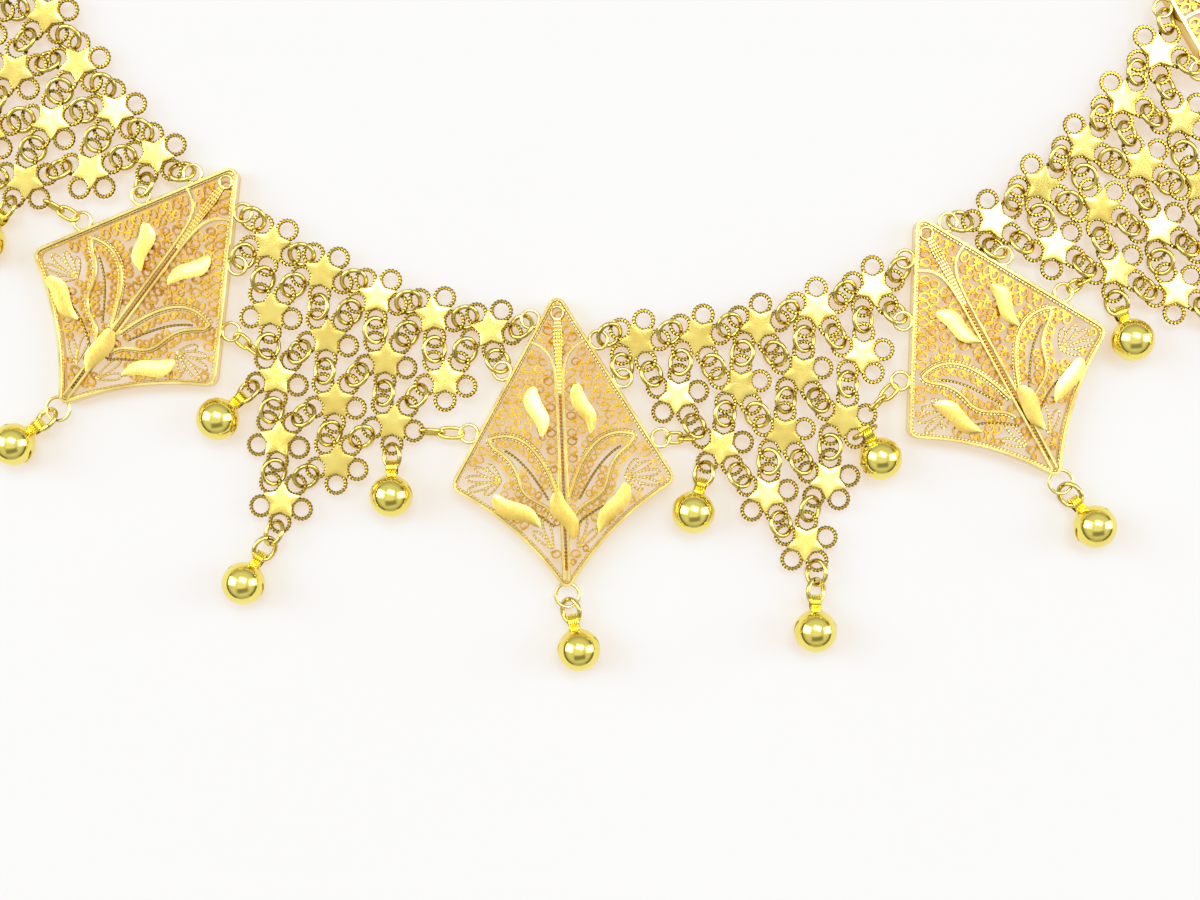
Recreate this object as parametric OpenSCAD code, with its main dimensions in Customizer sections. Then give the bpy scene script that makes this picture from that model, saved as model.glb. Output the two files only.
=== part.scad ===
// Filigree collar necklace, laid flat: five kite plaques, four triangular panels of
// star links between them, round bells below, and a plain chain with a clasp behind.
// Millimetres. X runs to the right, Y towards the back of the neck, Z up from the surface.

/* [Collar] */
// Radius of the inner edge, through the tops of the kites
collar_r = 76.5; // [76:0.25:77]
// Radius of the line of the top row of stars
top_row_r = 81.5; // [81.25:0.25:81.75]
// Height of the plane that the links lie in
link_z = 1.55; // [1.5:0.05:1.6]

/* [Kites] */
// Length from the top to the tip
kite_l = 35.8; // [35.6:0.1:36]
// Half of the width at the side corners
kite_half_w = 13.8; // [13.6:0.1:14]
// Distance from the top to the side corners
kite_corner = 22.6; // [22.4:0.1:22.8]
// Height of the frame
frame_h = 2.6; // [2.4:0.1:3]
// Thickness of the strip that the frame is bent from
frame_t = 0.5; // [0.4:0.05:0.6]
// Thickness of the pierced ground
ground_t = 0.5; // [0.4:0.05:0.6]
// Width of the flat wires
wire_w = 0.4; // [0.35:0.05:0.5]

/* [Stars] */
// Radius at the points
star_r = 2.45; // [2.3:0.05:2.45]
// Radius at the notches
star_notch_r = 1.55; // [1.5:0.05:1.6]
// Thickness of the plate
star_t = 0.5; // [0.4:0.05:0.6]
// Distance from the middle to each loop's middle
loop_at = 2.65; // [2.6:0.01:2.66]
// Outer radius of a loop
loop_r = 1.35; // [1.3:0.01:1.36]
// Radius of the hole in a loop
loop_hole = 0.95; // [0.93:0.01:0.98]
// Thickness of a loop
loop_t = 0.4; // [0.36:0.02:0.42]

/* [Rings] */
// Radius of a jump ring at the middle of its wire
ring_r = 1.5; // [1.48:0.01:1.52]
// Radius of the wire
ring_wire_r = 0.24; // [0.2:0.01:0.24]

/* [Bells] */
// Outer radius
bell_r = 2.65; // [2.5:0.05:2.7]
// Thickness of the shell
bell_t = 0.4; // [0.3:0.05:0.5]
// Width of the slit
bell_slit = 0.5; // [0.4:0.05:0.6]

/* [Back chain] */
// Width of the chain
chain_w = 2.6; // [2.4:0.1:2.8]
// Length of the clasp's body
clasp_l = 9; // [8:0.5:10]
// Width of the clasp's body
clasp_w = 3.6; // [3.4:0.1:4]

/* [Hidden] */
$fn = 48;

// Angles on the collar are measured from straight down, and grow to the left.
// Kites, left to right: angle of the top, turn of the kite's own axis, direction of its bell
KITE_AT = 0;
KITE_TURN = 1;
KITE_BELL_DIR = 2;
kites = [
    [71.6, 70, 62],
    [38.0, 36.6, 50],
    [5.4, -2.1, -12],
    [-29.6, -28.5, -36],
    [-61.8, -60.6, -66]
];

// Eyelets on the left and on the right upper side of each kite: distance of each from the top.
// The first two hold the star links, the third one a short chain; at the two ends of the
// collar the only eyelet of that side holds the back chain
eyelets = [
    [[4.8], [5.6, 11.7, 20]],
    [[5.0, 12.0, 20], [5.2, 11.8, 20]],
    [[3.9, 11.2, 20], [7.2, 12.8, 21.6]],
    [[4.9, 12.6, 20], [3.2, 11.2, 20]],
    [[3.8, 12.8, 20], [4.8]]
];
HIGH = 0;
LOW = 1;
CHAIN = 2;

// Panels, left to right: angle of the middle, angle between two stars of the top row,
// spacing in the lower rows, distance between rows, shift of the last four rows to the left
PANEL_AT = 0;
PANEL_STEP = 1;
PANEL_PITCH = 2;
PANEL_ROW = 3;
PANEL_SHIFTS = 4;
panels = [
    [54.7, 5.2, 7.75, 6.9, [0, -0.25, -0.1, 0]],
    [21.2, 5.17, 7.75, 6.98, [0, 0.2, 0.9, 0.8]],
    [-12.65, 5.3, 7.85, 6.9, [0, -0.1, -0.2, 0.5]],
    [-45.6, 5.17, 7.45, 7.03, [0.45, 0.45, 0.4, 0.4]]
];

// Bells of a panel: direction of the left, the right and the tip bell
LEFT = 0;
RIGHT = 1;
TIP = 2;
panel_bells = [[62, 32, 55], [46, 0, 30], [16, -30, 2], [-20, -70, -45]];
// The one bell that stands up against the stars instead of lying
standing_panel = 2;
standing_bell = RIGHT;

// Back chain, left and right: angle and radius of the points of its route between its two ends
left_route = [
    [82, 80.2], [88, 80.5], [94, 80.6], [100, 80.5], [106, 80.2], [112, 80],
    [118, 79.7], [124, 79.5], [130, 79.4], [136, 79.5], [142, 79.7], [148, 80],
    [154, 80.2], [160, 80.3], [166, 80.2], [171, 80.2]
];
right_route = [
    [-72, 80.2], [-78, 80.4], [-84, 80.6], [-90, 80.6], [-96, 80.4],
    [-102, 80.1], [-108, 79.8], [-114, 79.5], [-120, 79.3], [-126, 79.3], [-132, 79.5],
    [-138, 79.8], [-144, 80], [-150, 80.2], [-156, 80.3], [-162, 80.3], [-167, 80.2],
    [-171, 80.2]
];

// Eyelets: heights of the star eyelets and of the chain eyelets, radii, and the tip's own eyelet
eyelet_z = 2.0;
eyelet_chain_z = 1.45;
eyelet_r = 1.3;
eyelet_hole = 0.95;
tip_eyelet_r = 1.7;
tip_eyelet_hole = 1.25;
tip_eyelet_at = 1.1;

// Half of the angle at the kite's top, and the radii of its rounded corners
kite_half_angle = atan(kite_half_w / kite_corner);
top_corner_r = 1.05;
side_corner_r = 1.3;
tip_corner_r = 0.9;
side_hollow = 1.0;
ground_z = 0.9;
wire_z = ground_z + ground_t - 0.1;
wire_h = 1.0;
leaf_z = wire_z + wire_h - 0.15;
leaf_t = 0.3;
weld = 0.2;

// Bell parts
bell_loop_at = bell_r + 0.95;
bell_loop_r = 1.15;
bell_loop_hole = 0.75;
bell_z = bell_r;
bell_slit_to = 0.9;

// Gap between a chain and the loop at its end, wider where a ring shares a star's loop
end_gap = 0.25;
star_end_gap = 0.6;
side_chain_w = 1.5;
back_chain_z = chain_w / 2;
// Clasp: place, rounding of its ends, and the loops at its ends
clasp_y = 80;
clasp_round = 0.7;
clasp_loop_r = 1.3;
clasp_loop_hole = 0.8;
clasp_loop_t = 0.6;
clasp_reach = clasp_l / 2 + 2.3;

// Middle of the whole necklace, so that the origin is the middle of its underside
mid_x = -3.74;
mid_y = -20.28;

// Points, directions and frames
function heading(a) = [-sin(a), -cos(a), 0];
function sideways(a) = [cos(a), -sin(a), 0];
function unit(v) = v / norm(v);
function with_z(p, z) = [p[0], p[1], z];
function mean2(p, q) = (p + q) / 2;
// A small uneven value between -1 and 1 that depends only on a whole number
function wobble(n) = ((n * 37) % 11) / 5 - 1;
// Frame matrix from a point and three axes
function frame(o, x, y, z) = [
    [x[0], y[0], z[0], o[0]],
    [x[1], y[1], z[1], o[1]],
    [x[2], y[2], z[2], o[2]],
    [0, 0, 0, 1]
];
// Frame with its X axis on a line and its Y axis level, then turned about the line
function line_frame(o, along, tilt) =
    let (x = unit(along))
    let (y = unit(cross([0, 0, 1], x)))
    let (z = cross(x, y))
    frame(o, x, y * cos(tilt) + z * sin(tilt), z * cos(tilt) - y * sin(tilt));

// Kite: place of its top, and a point from its own distances to the right and towards the tip
function kite_top(k) = collar_r * heading(kites[k][KITE_AT]);
function kite_point(k, u, v, z) =
    let (turn = kites[k][KITE_TURN])
    kite_top(k) + u * sideways(turn) + v * heading(turn) + [0, 0, z];
// Eyelet's place at a distance t from the top, a little outside the straight upper side
function eyelet_out(t) = 1.6 - t / 60;
function eyelet_u(t) = sin(kite_half_angle) * t + cos(kite_half_angle) * eyelet_out(t);
function eyelet_v(t) = cos(kite_half_angle) * t - sin(kite_half_angle) * eyelet_out(t);
function eyelet_height(which) = which == CHAIN ? eyelet_chain_z : eyelet_z;
function side_sign(side) = side == LEFT ? -1 : 1;
function eyelet(k, side, which) =
    let (t = eyelets[k][side][which])
    kite_point(k, side_sign(side) * eyelet_u(t), eyelet_v(t), eyelet_height(which));
function tip_eyelet(k) = kite_point(k, 0, kite_l + tip_eyelet_at, link_z);

// Stars: row 0 is the top row on its arc, the rows below it flatten out
function row_shift(p, row) = row == 0 ? 0 : panels[p][PANEL_SHIFTS][row - 1] + row_shift(p, row - 1);
function row_x(p, row, i) =
    (i - (4 - row) / 2) * panels[p][PANEL_PITCH] - row_shift(p, row);
function row_bow(row, x) = max(0, 1 - row / 3) * x * x / (2 * top_row_r);
function star_at(p, row, i) =
    row == 0
    ? top_row_r * heading(panels[p][PANEL_AT] - (i - 2) * panels[p][PANEL_STEP]) + [0, 0, link_z]
    : let (x = row_x(p, row, i), a = panels[p][PANEL_AT])
      (top_row_r + row * panels[p][PANEL_ROW] - row_bow(row, x)) * heading(a)
      + x * sideways(a) + [0, 0, link_z];
function star_number(p, row, i) = 16 * p + 5 * row + i;
function star_yaw(p, row, i) =
    2 * wobble(star_number(p, row, i)) -
    (row == 0 ? panels[p][PANEL_AT] - (i - 2) * panels[p][PANEL_STEP] : panels[p][PANEL_AT]);
function star_tilt_x(p, row, i) = 2.5 * wobble(star_number(p, row, i) + 4);
function star_tilt_y(p, row, i) = 2.5 * wobble(3 * star_number(p, row, i) + 1);
// Middle of a star's loop in the collar's frame; loop 0 points to the right along the row
function tilted(v, a, b) =
    let (w = [v[0], v[1] * cos(a), v[1] * sin(a)])
    [w[0] * cos(b) + w[2] * sin(b), w[1], w[2] * cos(b) - w[0] * sin(b)];
function turned(v, a) = [v[0] * cos(a) - v[1] * sin(a), v[0] * sin(a) + v[1] * cos(a), v[2]];
function star_loop(p, row, i, k) =
    star_at(p, row, i) + tilted(
        turned([loop_at, 0, 0], 72 * k + star_yaw(p, row, i)),
        star_tilt_x(p, row, i), star_tilt_y(p, row, i)
    );

// Middle of a bell's ball, from the middle of its own loop and its direction
function bell_middle(hook, dir) =
    with_z(hook + sqrt(pow(bell_loop_at, 2) - pow(bell_z - hook[2], 2)) * heading(dir), bell_z);

// Points of an arc round a centre, from one angle to another, in a number of steps
function arc(c, r, from, to, steps) =
    [for (i = [0 : steps]) let (a = from + (to - from) * i / steps) c + r * [sin(a), -cos(a)]];
// Bowed line between two points, without its ends
function bowed(p, q, hollow, steps) =
    let (side = unit([-(q - p)[1], (q - p)[0]]))
    [for (i = [1 : steps - 1]) let (t = i / steps) p + t * (q - p) + 4 * t * (1 - t) * hollow * side];
// Curve through two ends with two handles
function bezier(a, b, c, d, steps) =
    [for (i = [0 : steps]) let (t = i / steps, s = 1 - t)
        s * s * s * a + 3 * s * s * t * b + 3 * s * t * t * c + t * t * t * d];
// Outline of a strip of one width along a line of points
function strip_side(p, w) = [
    for (i = [0 : len(p) - 1])
        let (d = unit(p[min(i + 1, len(p) - 1)] - p[max(i - 1, 0)]))
        p[i] + w * [-d[1], d[0]]
];
function backwards(p) = [for (i = [len(p) - 1 : -1 : 0]) p[i]];
function mirrored(p) = [for (q = p) [-q[0], q[1]]];

// Kite outline, set in from the outer face; u to the right and v towards the tip
function half_outline(inset) =
    let (upper = 90 - kite_half_angle)
    let (lower = 149, tip_start = 125)
    let (side_c = [kite_half_w - side_corner_r * 1.1, kite_corner])
    let (side_arc = arc(side_c, side_corner_r - inset, upper, lower, 5))
    let (tip_arc = arc([0, kite_l - tip_corner_r], tip_corner_r - inset, tip_start, 180, 3))
    concat(
        arc([0, top_corner_r], top_corner_r - inset, 0, upper, 4),
        side_arc,
        bowed(side_arc[5], tip_arc[0], side_hollow, 6),
        tip_arc
    );
function outline(inset) =
    let (half = half_outline(inset))
    concat(half, backwards(mirrored([for (i = [1 : len(half) - 2]) half[i]])));

// Flat wires of the right half of a kite: the forked arm, the broad leaf outline and its wavy return
arm_line = bezier([3.4, 5.6], [2.0, 5.7], [0.7, 6.4], [0.55, 9.4], 6);
leaf_line = bezier([0.6, 24.6], [2.0, 20.4], [4.2, 15.6], [8.9, 17.2], 8);
wave_line = concat(
    bezier([8.9, 17.2], [8.6, 18.8], [6.0, 18.6], [5.3, 21.6], 4),
    bezier([5.0, 22.6], [4.4, 25.4], [1.4, 24.6], [1.0, 26.6], 4)
);
stem_half_gap = 0.45;
stem_from = 8.6;
stem_to = kite_l - 0.6;
stem_h = wire_h + 0.1;

// Sheet leaves: place, length, width, turn and which way the S bends
LEAF_U = 0;
LEAF_V = 1;
LEAF_LENGTH = 2;
LEAF_WIDTH = 3;
LEAF_TURN = 4;
LEAF_BEND = 5;
leaves = [
    [-2.9, 14.0, 6.0, 2.1, 96, 1],
    [2.9, 13.8, 6.2, 1.9, 78, -1],
    [-5.9, 26.3, 6.8, 2.2, 30, 1],
    [6.1, 26.2, 6.6, 2.0, 122, 1],
    [0.1, 27.0, 6.0, 2.2, 76, 1]
];

// Rows of holes through the right half of the ground: first and last place, number, radius
HOLES_FROM = 0;
HOLES_TO = 1;
HOLES_COUNT = 2;
HOLES_R = 3;
hole_rows = [
    [[1.9, 10.9], [1.9, 17.3], 3, 0.8],
    [[4.2, 10.7], [7.4, 15.6], 3, 0.95],
    [[6.5, 19.2], [2.9, 22.4], 2, 0.8],
    [[10.3, 20.8], [5.2, 28.0], 3, 1.1],
    [[2.3, 30.6], [2.3, 30.6], 1, 0.75]
];

module flip_v() { mirror([0, 1, 0]) children(); }

module strip(points, w) {
    polygon(concat(strip_side(points, w / 2), backwards(strip_side(points, -w / 2))));
}

module washer(r, hole, t) {
    translate([0, 0, -t / 2]) linear_extrude(t) difference() {
        circle(r = r);
        circle(r = hole);
    }
}

module jump_ring(p, q, tilt) {
    multmatrix(line_frame(mean2(p, q), q - p, tilt))
        rotate_extrude() translate([ring_r, 0]) circle(r = ring_wire_r, $fn = 24);
}

module leaf(row) {
    n = 8;
    half = [for (i = [0 : n]) let (t = i / n)
        [(t - 0.5) * row[LEAF_LENGTH], row[LEAF_BEND] * 0.45 * sin(360 * t)]];
    wide = [for (i = [0 : n]) row[LEAF_WIDTH] / 2 * pow(sin(180 * (0.06 + 0.88 * i / n)), 0.7)];
    translate([row[LEAF_U], row[LEAF_V]]) rotate(row[LEAF_TURN]) polygon(concat(
        [for (i = [0 : n]) half[i] + [0, wide[i]]],
        [for (i = [n : -1 : 0]) half[i] - [0, wide[i]]]
    ));
}

module leaf_rib(row) {
    translate([row[LEAF_U], row[LEAF_V]]) rotate(row[LEAF_TURN])
        square([row[LEAF_LENGTH] * 0.8, 2 * wire_w], center = true);
}

module kite_wires() {
    for (side = [1, -1]) {
        strip([for (q = arm_line) [side * q[0], q[1]]], wire_w);
        strip([for (q = leaf_line) [side * q[0], q[1]]], wire_w);
        strip([for (q = wave_line) [side * q[0], q[1]]], wire_w);
    }
}

module kite_stem() {
    for (side = [1, -1])
        translate([side * stem_half_gap - wire_w / 2, stem_from])
            square([wire_w, stem_to - stem_from]);
    translate([-stem_half_gap, 1.2]) square([2 * stem_half_gap, 8]);
}

module kite_ground() {
    difference() {
        polygon(outline(frame_t - weld));
        for (side = [1, -1], row = hole_rows, i = [0 : row[HOLES_COUNT] - 1]) {
            t = row[HOLES_COUNT] == 1 ? 0 : i / (row[HOLES_COUNT] - 1);
            at = row[HOLES_FROM] + t * (row[HOLES_TO] - row[HOLES_FROM]);
            translate([side * at[0], at[1]]) circle(r = row[HOLES_R]);
        }
    }
}

module kite_eyelet(k, side, which) {
    t = eyelets[k][side][which];
    translate([side_sign(side) * eyelet_u(t), eyelet_v(t), eyelet_height(which)])
        washer(eyelet_r, eyelet_hole, loop_t);
}

// One kite, soldered up as one piece
module kite(k) {
    color("goldenrod")
        translate(kite_top(k)) rotate(-kites[k][KITE_TURN]) flip_v() {
            linear_extrude(frame_h) difference() {
                polygon(outline(0));
                polygon(outline(frame_t));
            }
            translate([0, 0, ground_z]) linear_extrude(ground_t) kite_ground();
            translate([0, 0, wire_z]) linear_extrude(wire_h) union() {
                kite_wires();
                for (row = leaves) leaf_rib(row);
            }
            translate([0, 0, wire_z]) linear_extrude(stem_h) kite_stem();
            translate([0, 0, leaf_z]) linear_extrude(leaf_t) for (row = leaves) leaf(row);
            for (side = [LEFT, RIGHT], which = [0 : len(eyelets[k][side]) - 1])
                kite_eyelet(k, side, which);
            translate([0, kite_l + tip_eyelet_at, link_z]) washer(tip_eyelet_r, tip_eyelet_hole, loop_t);
        }
}

module star_plate() {
    points = [for (i = [0 : 9]) let (r = i % 2 == 0 ? star_notch_r : star_r)
        r * [cos(36 * i), sin(36 * i)]];
    translate([0, 0, loop_t / 2 - 0.1]) linear_extrude(star_t) polygon(points);
}

module star(p, row, i) {
    translate(star_at(p, row, i))
        rotate([0, star_tilt_y(p, row, i), 0]) rotate([star_tilt_x(p, row, i), 0, 0])
        rotate(star_yaw(p, row, i)) {
            star_plate();
            for (k = [0 : 4]) rotate(72 * k) translate([loop_at, 0, 0])
                washer(loop_r, loop_hole, loop_t);
        }
}

module star_panel(p) {
    color("gold") for (row = [0 : 4], i = [0 : 4 - row]) star(p, row, i);
}

// Which way a mesh ring leans
function lean(n) = (n % 3 == 0 ? -1 : 1) * (47 + 3 * wobble(n));

// Links of a star to the stars below it, and along the top row
module mesh_rings(p) {
    for (i = [0 : 3])
        jump_ring(star_loop(p, 0, i, 0), star_loop(p, 0, i + 1, 2), -lean(3 * i + 1));
    for (row = [1 : 4], i = [0 : 4 - row]) {
        jump_ring(star_loop(p, row, i, 2), star_loop(p, row - 1, i, 4), lean(7 * row + i));
        jump_ring(star_loop(p, row, i, 1), star_loop(p, row - 1, i + 1, 3), lean(5 * row + 2 * i));
    }
}

// Links from the end stars of the top row to the eyelets of the kites on both sides
link_tilt = 45;
module kite_links(p) {
    jump_ring(star_loop(p, 0, 0, 2), eyelet(p, RIGHT, HIGH), link_tilt);
    jump_ring(star_loop(p, 0, 0, 3), eyelet(p, RIGHT, LOW), -link_tilt);
    jump_ring(star_loop(p, 0, 4, 0), eyelet(p + 1, LEFT, HIGH), link_tilt);
    jump_ring(star_loop(p, 0, 4, 4), eyelet(p + 1, LEFT, LOW), -link_tilt);
}

// Ring lying along a direction, at a distance from a point
module ring_along(p, dir, at, tilt) {
    middle = p + at * heading(dir);
    jump_ring(middle - heading(dir), middle + heading(dir), tilt);
}

// Reach from a star's loop to the loop of a bell that lies; the standing bell hangs over
// the top of an upright ring, which is lifted by stand_up and carries it stand_slack ahead
lying_reach = 3.0;
stand_up = 0.75;
stand_slack = 0.35;
stand_out = sqrt(ring_r * ring_r - stand_up * stand_up);
// The tip bell hangs from the last star's lower loop on two rings
tip_first = 1.5;
tip_second = 3.8;
tip_reach = 5.25;

function stands(p, which) = p == standing_panel && which == standing_bell;
function bell_loop(p, which) =
    let (holds = [[2, 0, 3], [2, 2, 4], [4, 0, 4]])
    let (hold = holds[which])
    with_z(star_loop(p, hold[0], hold[1], hold[2]), link_z);
function stand_ring(p, which) =
    bell_loop(p, which) + stand_out * sideways(panel_bells[p][which]) + [0, 0, stand_up];
function panel_bell_hook(p, which) =
    let (ahead = heading(panel_bells[p][which]))
    stands(p, which)
    ? stand_ring(p, which) + [0, 0, ring_r] + stand_slack * ahead
    : bell_loop(p, which) + (which == TIP ? tip_reach : lying_reach) * ahead;

module bell_rings(p) {
    for (which = [LEFT, RIGHT]) {
        level = sideways(panel_bells[p][which]);
        if (stands(p, which))
            jump_ring(stand_ring(p, which) - level, stand_ring(p, which) + level, 90);
        else
            jump_ring(bell_loop(p, which), panel_bell_hook(p, which), link_tilt);
    }
    ring_along(bell_loop(p, TIP), panel_bells[p][TIP], tip_first, link_tilt);
    ring_along(bell_loop(p, TIP), panel_bells[p][TIP], tip_second, -link_tilt);
}

module ring_panel(p) {
    color("khaki") {
        mesh_rings(p);
        kite_links(p);
        bell_rings(p);
    }
}

// Bell in its own frame: ball at the origin, loop on the +X side, slit level
module bell_shape() {
    difference() {
        sphere(r = bell_r);
        sphere(r = bell_r - bell_t);
        translate([-2 * bell_r + bell_slit_to, -bell_r - 1, -bell_slit / 2])
            cube([2 * bell_r, 2 * bell_r + 2, bell_slit]);
    }
    translate([bell_loop_at, 0, 0]) rotate([90, 0, 0]) washer(bell_loop_r, bell_loop_hole, loop_t);
    rotate([0, 90, 0]) translate([0, 0, bell_r - 0.25]) difference() {
        cylinder(r = 0.8, h = 0.45);
        translate([0, 0, -1]) cylinder(r = 0.3, h = 0.9);
    }
}

module bell(hook, dir) {
    middle = bell_middle(hook, dir);
    color("gold") multmatrix(line_frame(middle, hook - middle, 0)) bell_shape();
}

// Drop ring of a kite, on the eyelet at its tip, and the loop of the bell below it
kite_ring_at = 2.0;
kite_ring_reach = 3.4;
module kite_ring(k) {
    color("khaki") ring_along(tip_eyelet(k), kites[k][KITE_BELL_DIR], kite_ring_at, link_tilt);
}
module kite_bell(k) {
    dir = kites[k][KITE_BELL_DIR];
    bell(tip_eyelet(k) + kite_ring_reach * heading(dir), dir);
}

// Tube along a line of points, eight-sided, closed at both ends
TUBE_SIDES = 8;
function tube_ring(p, d, r) =
    let (x = unit(cross([0, 0, 1], d)), y = cross(d, x))
    [for (j = [0 : TUBE_SIDES - 1]) let (a = 360 * (j + 0.5) / TUBE_SIDES) p + r * (cos(a) * x + sin(a) * y)];
module tube(points, width) {
    r = width / 2 / cos(180 / TUBE_SIDES);
    last = len(points) - 1;
    rings = [for (i = [0 : last])
        tube_ring(points[i], unit(points[min(i + 1, last)] - points[max(i - 1, 0)]), r)];
    polyhedron(
        points = [for (ring = rings, q = ring) q],
        faces = concat(
            [[for (j = [0 : TUBE_SIDES - 1]) j]],
            [for (i = [0 : last - 1], j = [0 : TUBE_SIDES - 1])
                let (a = TUBE_SIDES * i, b = a + TUBE_SIDES, n = (j + 1) % TUBE_SIDES)
                [a + n, a + j, b + j, b + n]],
            [[for (j = [TUBE_SIDES - 1 : -1 : 0]) TUBE_SIDES * last + j]]
        )
    );
}

// Short chain number n: odd ones leave a kite's right side, even ones a kite's left side
function chain_panel(n) = floor((n - 1) / 2);
function chain_from(n) =
    n % 2 == 1 ? eyelet(chain_panel(n), RIGHT, CHAIN) : eyelet(chain_panel(n) + 1, LEFT, CHAIN);
function chain_to(n) =
    n % 2 == 1 ? star_loop(chain_panel(n), 2, 0, 2) : star_loop(chain_panel(n), 2, 2, 0);
module side_chain(n) {
    from = chain_from(n);
    to = chain_to(n);
    line = unit(to - from);
    start = from + (eyelet_r + end_gap) * line;
    end = to - (loop_r + star_end_gap) * line;
    color("goldenrod") tube([start, mean2(start, end), end], side_chain_w);
}

// Back chain from a kite's eyelet along its route to the clasp's loop
module back_chain(hold, route, side) {
    points = [for (row = route) with_z(row[1] * heading(row[0]), back_chain_z)];
    from = with_z(hold, back_chain_z);
    start = from + (eyelet_r + end_gap) * unit(points[0] - from);
    end = [side * (clasp_reach + end_gap), clasp_y, back_chain_z];
    color("goldenrod") tube(concat([start], points, [end]), chain_w);
}

module clasp_piece() {
    edge = clasp_w / 2 - clasp_round;
    half = clasp_l / 2 - clasp_round;
    color("gold") translate([0, clasp_y, clasp_w / 2]) {
        rotate([0, 90, 0]) rotate_extrude() polygon(concat(
            [[0, -clasp_l / 2]],
            [for (i = [0 : 3]) [edge + clasp_round * sin(30 * i), -half - clasp_round * cos(30 * i)]],
            [for (i = [3 : -1 : 0]) [edge + clasp_round * sin(30 * i), half + clasp_round * cos(30 * i)]],
            [[0, clasp_l / 2]]
        ));
        for (side = [1, -1]) translate([side * (clasp_reach - clasp_loop_r), 0, 0])
            washer(clasp_loop_r, clasp_loop_hole, clasp_loop_t);
    }
}

module placed() { translate([-mid_x, -mid_y, 0]) children(); }

for (k = [0 : 4]) {
    n = str(k + 1);
    placed() kite(k);
    placed() kite_bell(k);
    placed() kite_ring(k);
}

for (p = [0 : 3]) {
    n = str(p + 1);
    placed() star_panel(p);
    placed() ring_panel(p);
    placed() bell(panel_bell_hook(p, LEFT), panel_bells[p][LEFT]);
    placed() bell(panel_bell_hook(p, RIGHT), panel_bells[p][RIGHT]);
    placed() bell(panel_bell_hook(p, TIP), panel_bells[p][TIP]);
}

for (n = [1 : 8])
    placed() side_chain(n);

placed() back_chain(eyelet(0, LEFT, HIGH), left_route, -1);  // back_chain_left
placed() back_chain(eyelet(4, RIGHT, HIGH), right_route, 1);  // back_chain_right
placed() clasp_piece();  // clasp
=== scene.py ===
"""Looks of a gold filigree collar necklace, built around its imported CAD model.

Sizes are in millimetres about the middle of the collar's circle until a mesh is made.
"""

import logging
import math
from collections.abc import Iterator, Sequence
from dataclasses import dataclass, field
from enum import Enum, IntEnum
from typing import ClassVar

import bpy
import numpy as np
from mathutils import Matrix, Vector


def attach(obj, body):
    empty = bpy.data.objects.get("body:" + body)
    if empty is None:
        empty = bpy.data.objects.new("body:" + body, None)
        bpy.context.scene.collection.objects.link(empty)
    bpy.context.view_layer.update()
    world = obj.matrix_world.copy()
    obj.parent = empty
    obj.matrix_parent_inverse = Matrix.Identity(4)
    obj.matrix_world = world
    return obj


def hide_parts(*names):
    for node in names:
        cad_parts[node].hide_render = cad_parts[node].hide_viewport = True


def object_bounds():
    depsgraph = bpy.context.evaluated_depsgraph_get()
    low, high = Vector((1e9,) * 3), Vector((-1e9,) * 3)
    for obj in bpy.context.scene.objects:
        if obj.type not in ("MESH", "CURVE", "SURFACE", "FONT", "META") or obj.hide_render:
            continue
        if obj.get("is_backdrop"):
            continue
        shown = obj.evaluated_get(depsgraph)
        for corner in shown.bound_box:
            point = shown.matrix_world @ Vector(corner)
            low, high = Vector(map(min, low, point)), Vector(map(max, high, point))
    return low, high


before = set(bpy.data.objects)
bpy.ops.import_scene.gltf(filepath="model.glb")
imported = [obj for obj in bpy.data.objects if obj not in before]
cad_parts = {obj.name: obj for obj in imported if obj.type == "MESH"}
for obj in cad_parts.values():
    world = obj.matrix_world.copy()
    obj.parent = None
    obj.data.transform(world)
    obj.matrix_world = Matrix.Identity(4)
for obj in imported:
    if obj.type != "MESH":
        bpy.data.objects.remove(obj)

MM = 0.001
COLLAR_MIDDLE = np.array([3.74, 20.28, 0.0])
UP = np.array([0.0, 0.0, 1.0])
BODY = "root"
LOG = logging.getLogger("necklace")
Pairs = tuple[tuple[float, float], ...]
Tree = bpy.types.NodeTree
Socket = bpy.types.NodeSocket


class Slot(Enum):
    """Material slots of the record."""

    FILIGREE = "filigree_gold"
    BRUSHED = "brushed_gold"
    POLISHED = "polished_gold"
    WIRE = "wire_gold"


class Side(IntEnum):
    """Side of a kite or of a panel, seen from the front."""

    LEFT = 0
    RIGHT = 1


class Hold(IntEnum):
    """Eyelets along one side of a kite, from the top."""

    HIGH = 0
    LOW = 1
    CHAIN = 2


class BellPlace(IntEnum):
    """Places of the three bells of a star panel."""

    LEFT = 0
    RIGHT = 1
    TIP = 2


# Points, directions and curves


def heading(angle: float) -> np.ndarray:
    """Direction away from the collar's middle at an angle from its front, in degrees."""
    a = math.radians(angle)
    return np.array([-math.sin(a), -math.cos(a), 0.0])


def sideways(angle: float) -> np.ndarray:
    """Direction to the right of a heading, in the picture's plane."""
    a = math.radians(angle)
    return np.array([math.cos(a), -math.sin(a), 0.0])


def unit(vector: np.ndarray) -> np.ndarray:
    """Vector of length one."""
    return vector / max(float(np.linalg.norm(vector)), 1e-9)


def wobble(number: int) -> float:
    """Small uneven value between -1 and 1 that depends only on a whole number."""
    return ((number * 37) % 11) / 5 - 1


def turned(angle: float) -> np.ndarray:
    """Matrix that turns rows of flat points by an angle in degrees."""
    c, s = math.cos(math.radians(angle)), math.sin(math.radians(angle))
    return np.array([[c, s], [-s, c]])


def circle(count: int) -> np.ndarray:
    """Points of a level circle of radius one."""
    a = np.linspace(0, 2 * math.pi, count + 1)[:-1]
    return np.stack([np.cos(a), np.sin(a), 0 * a], axis=-1)


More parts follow.
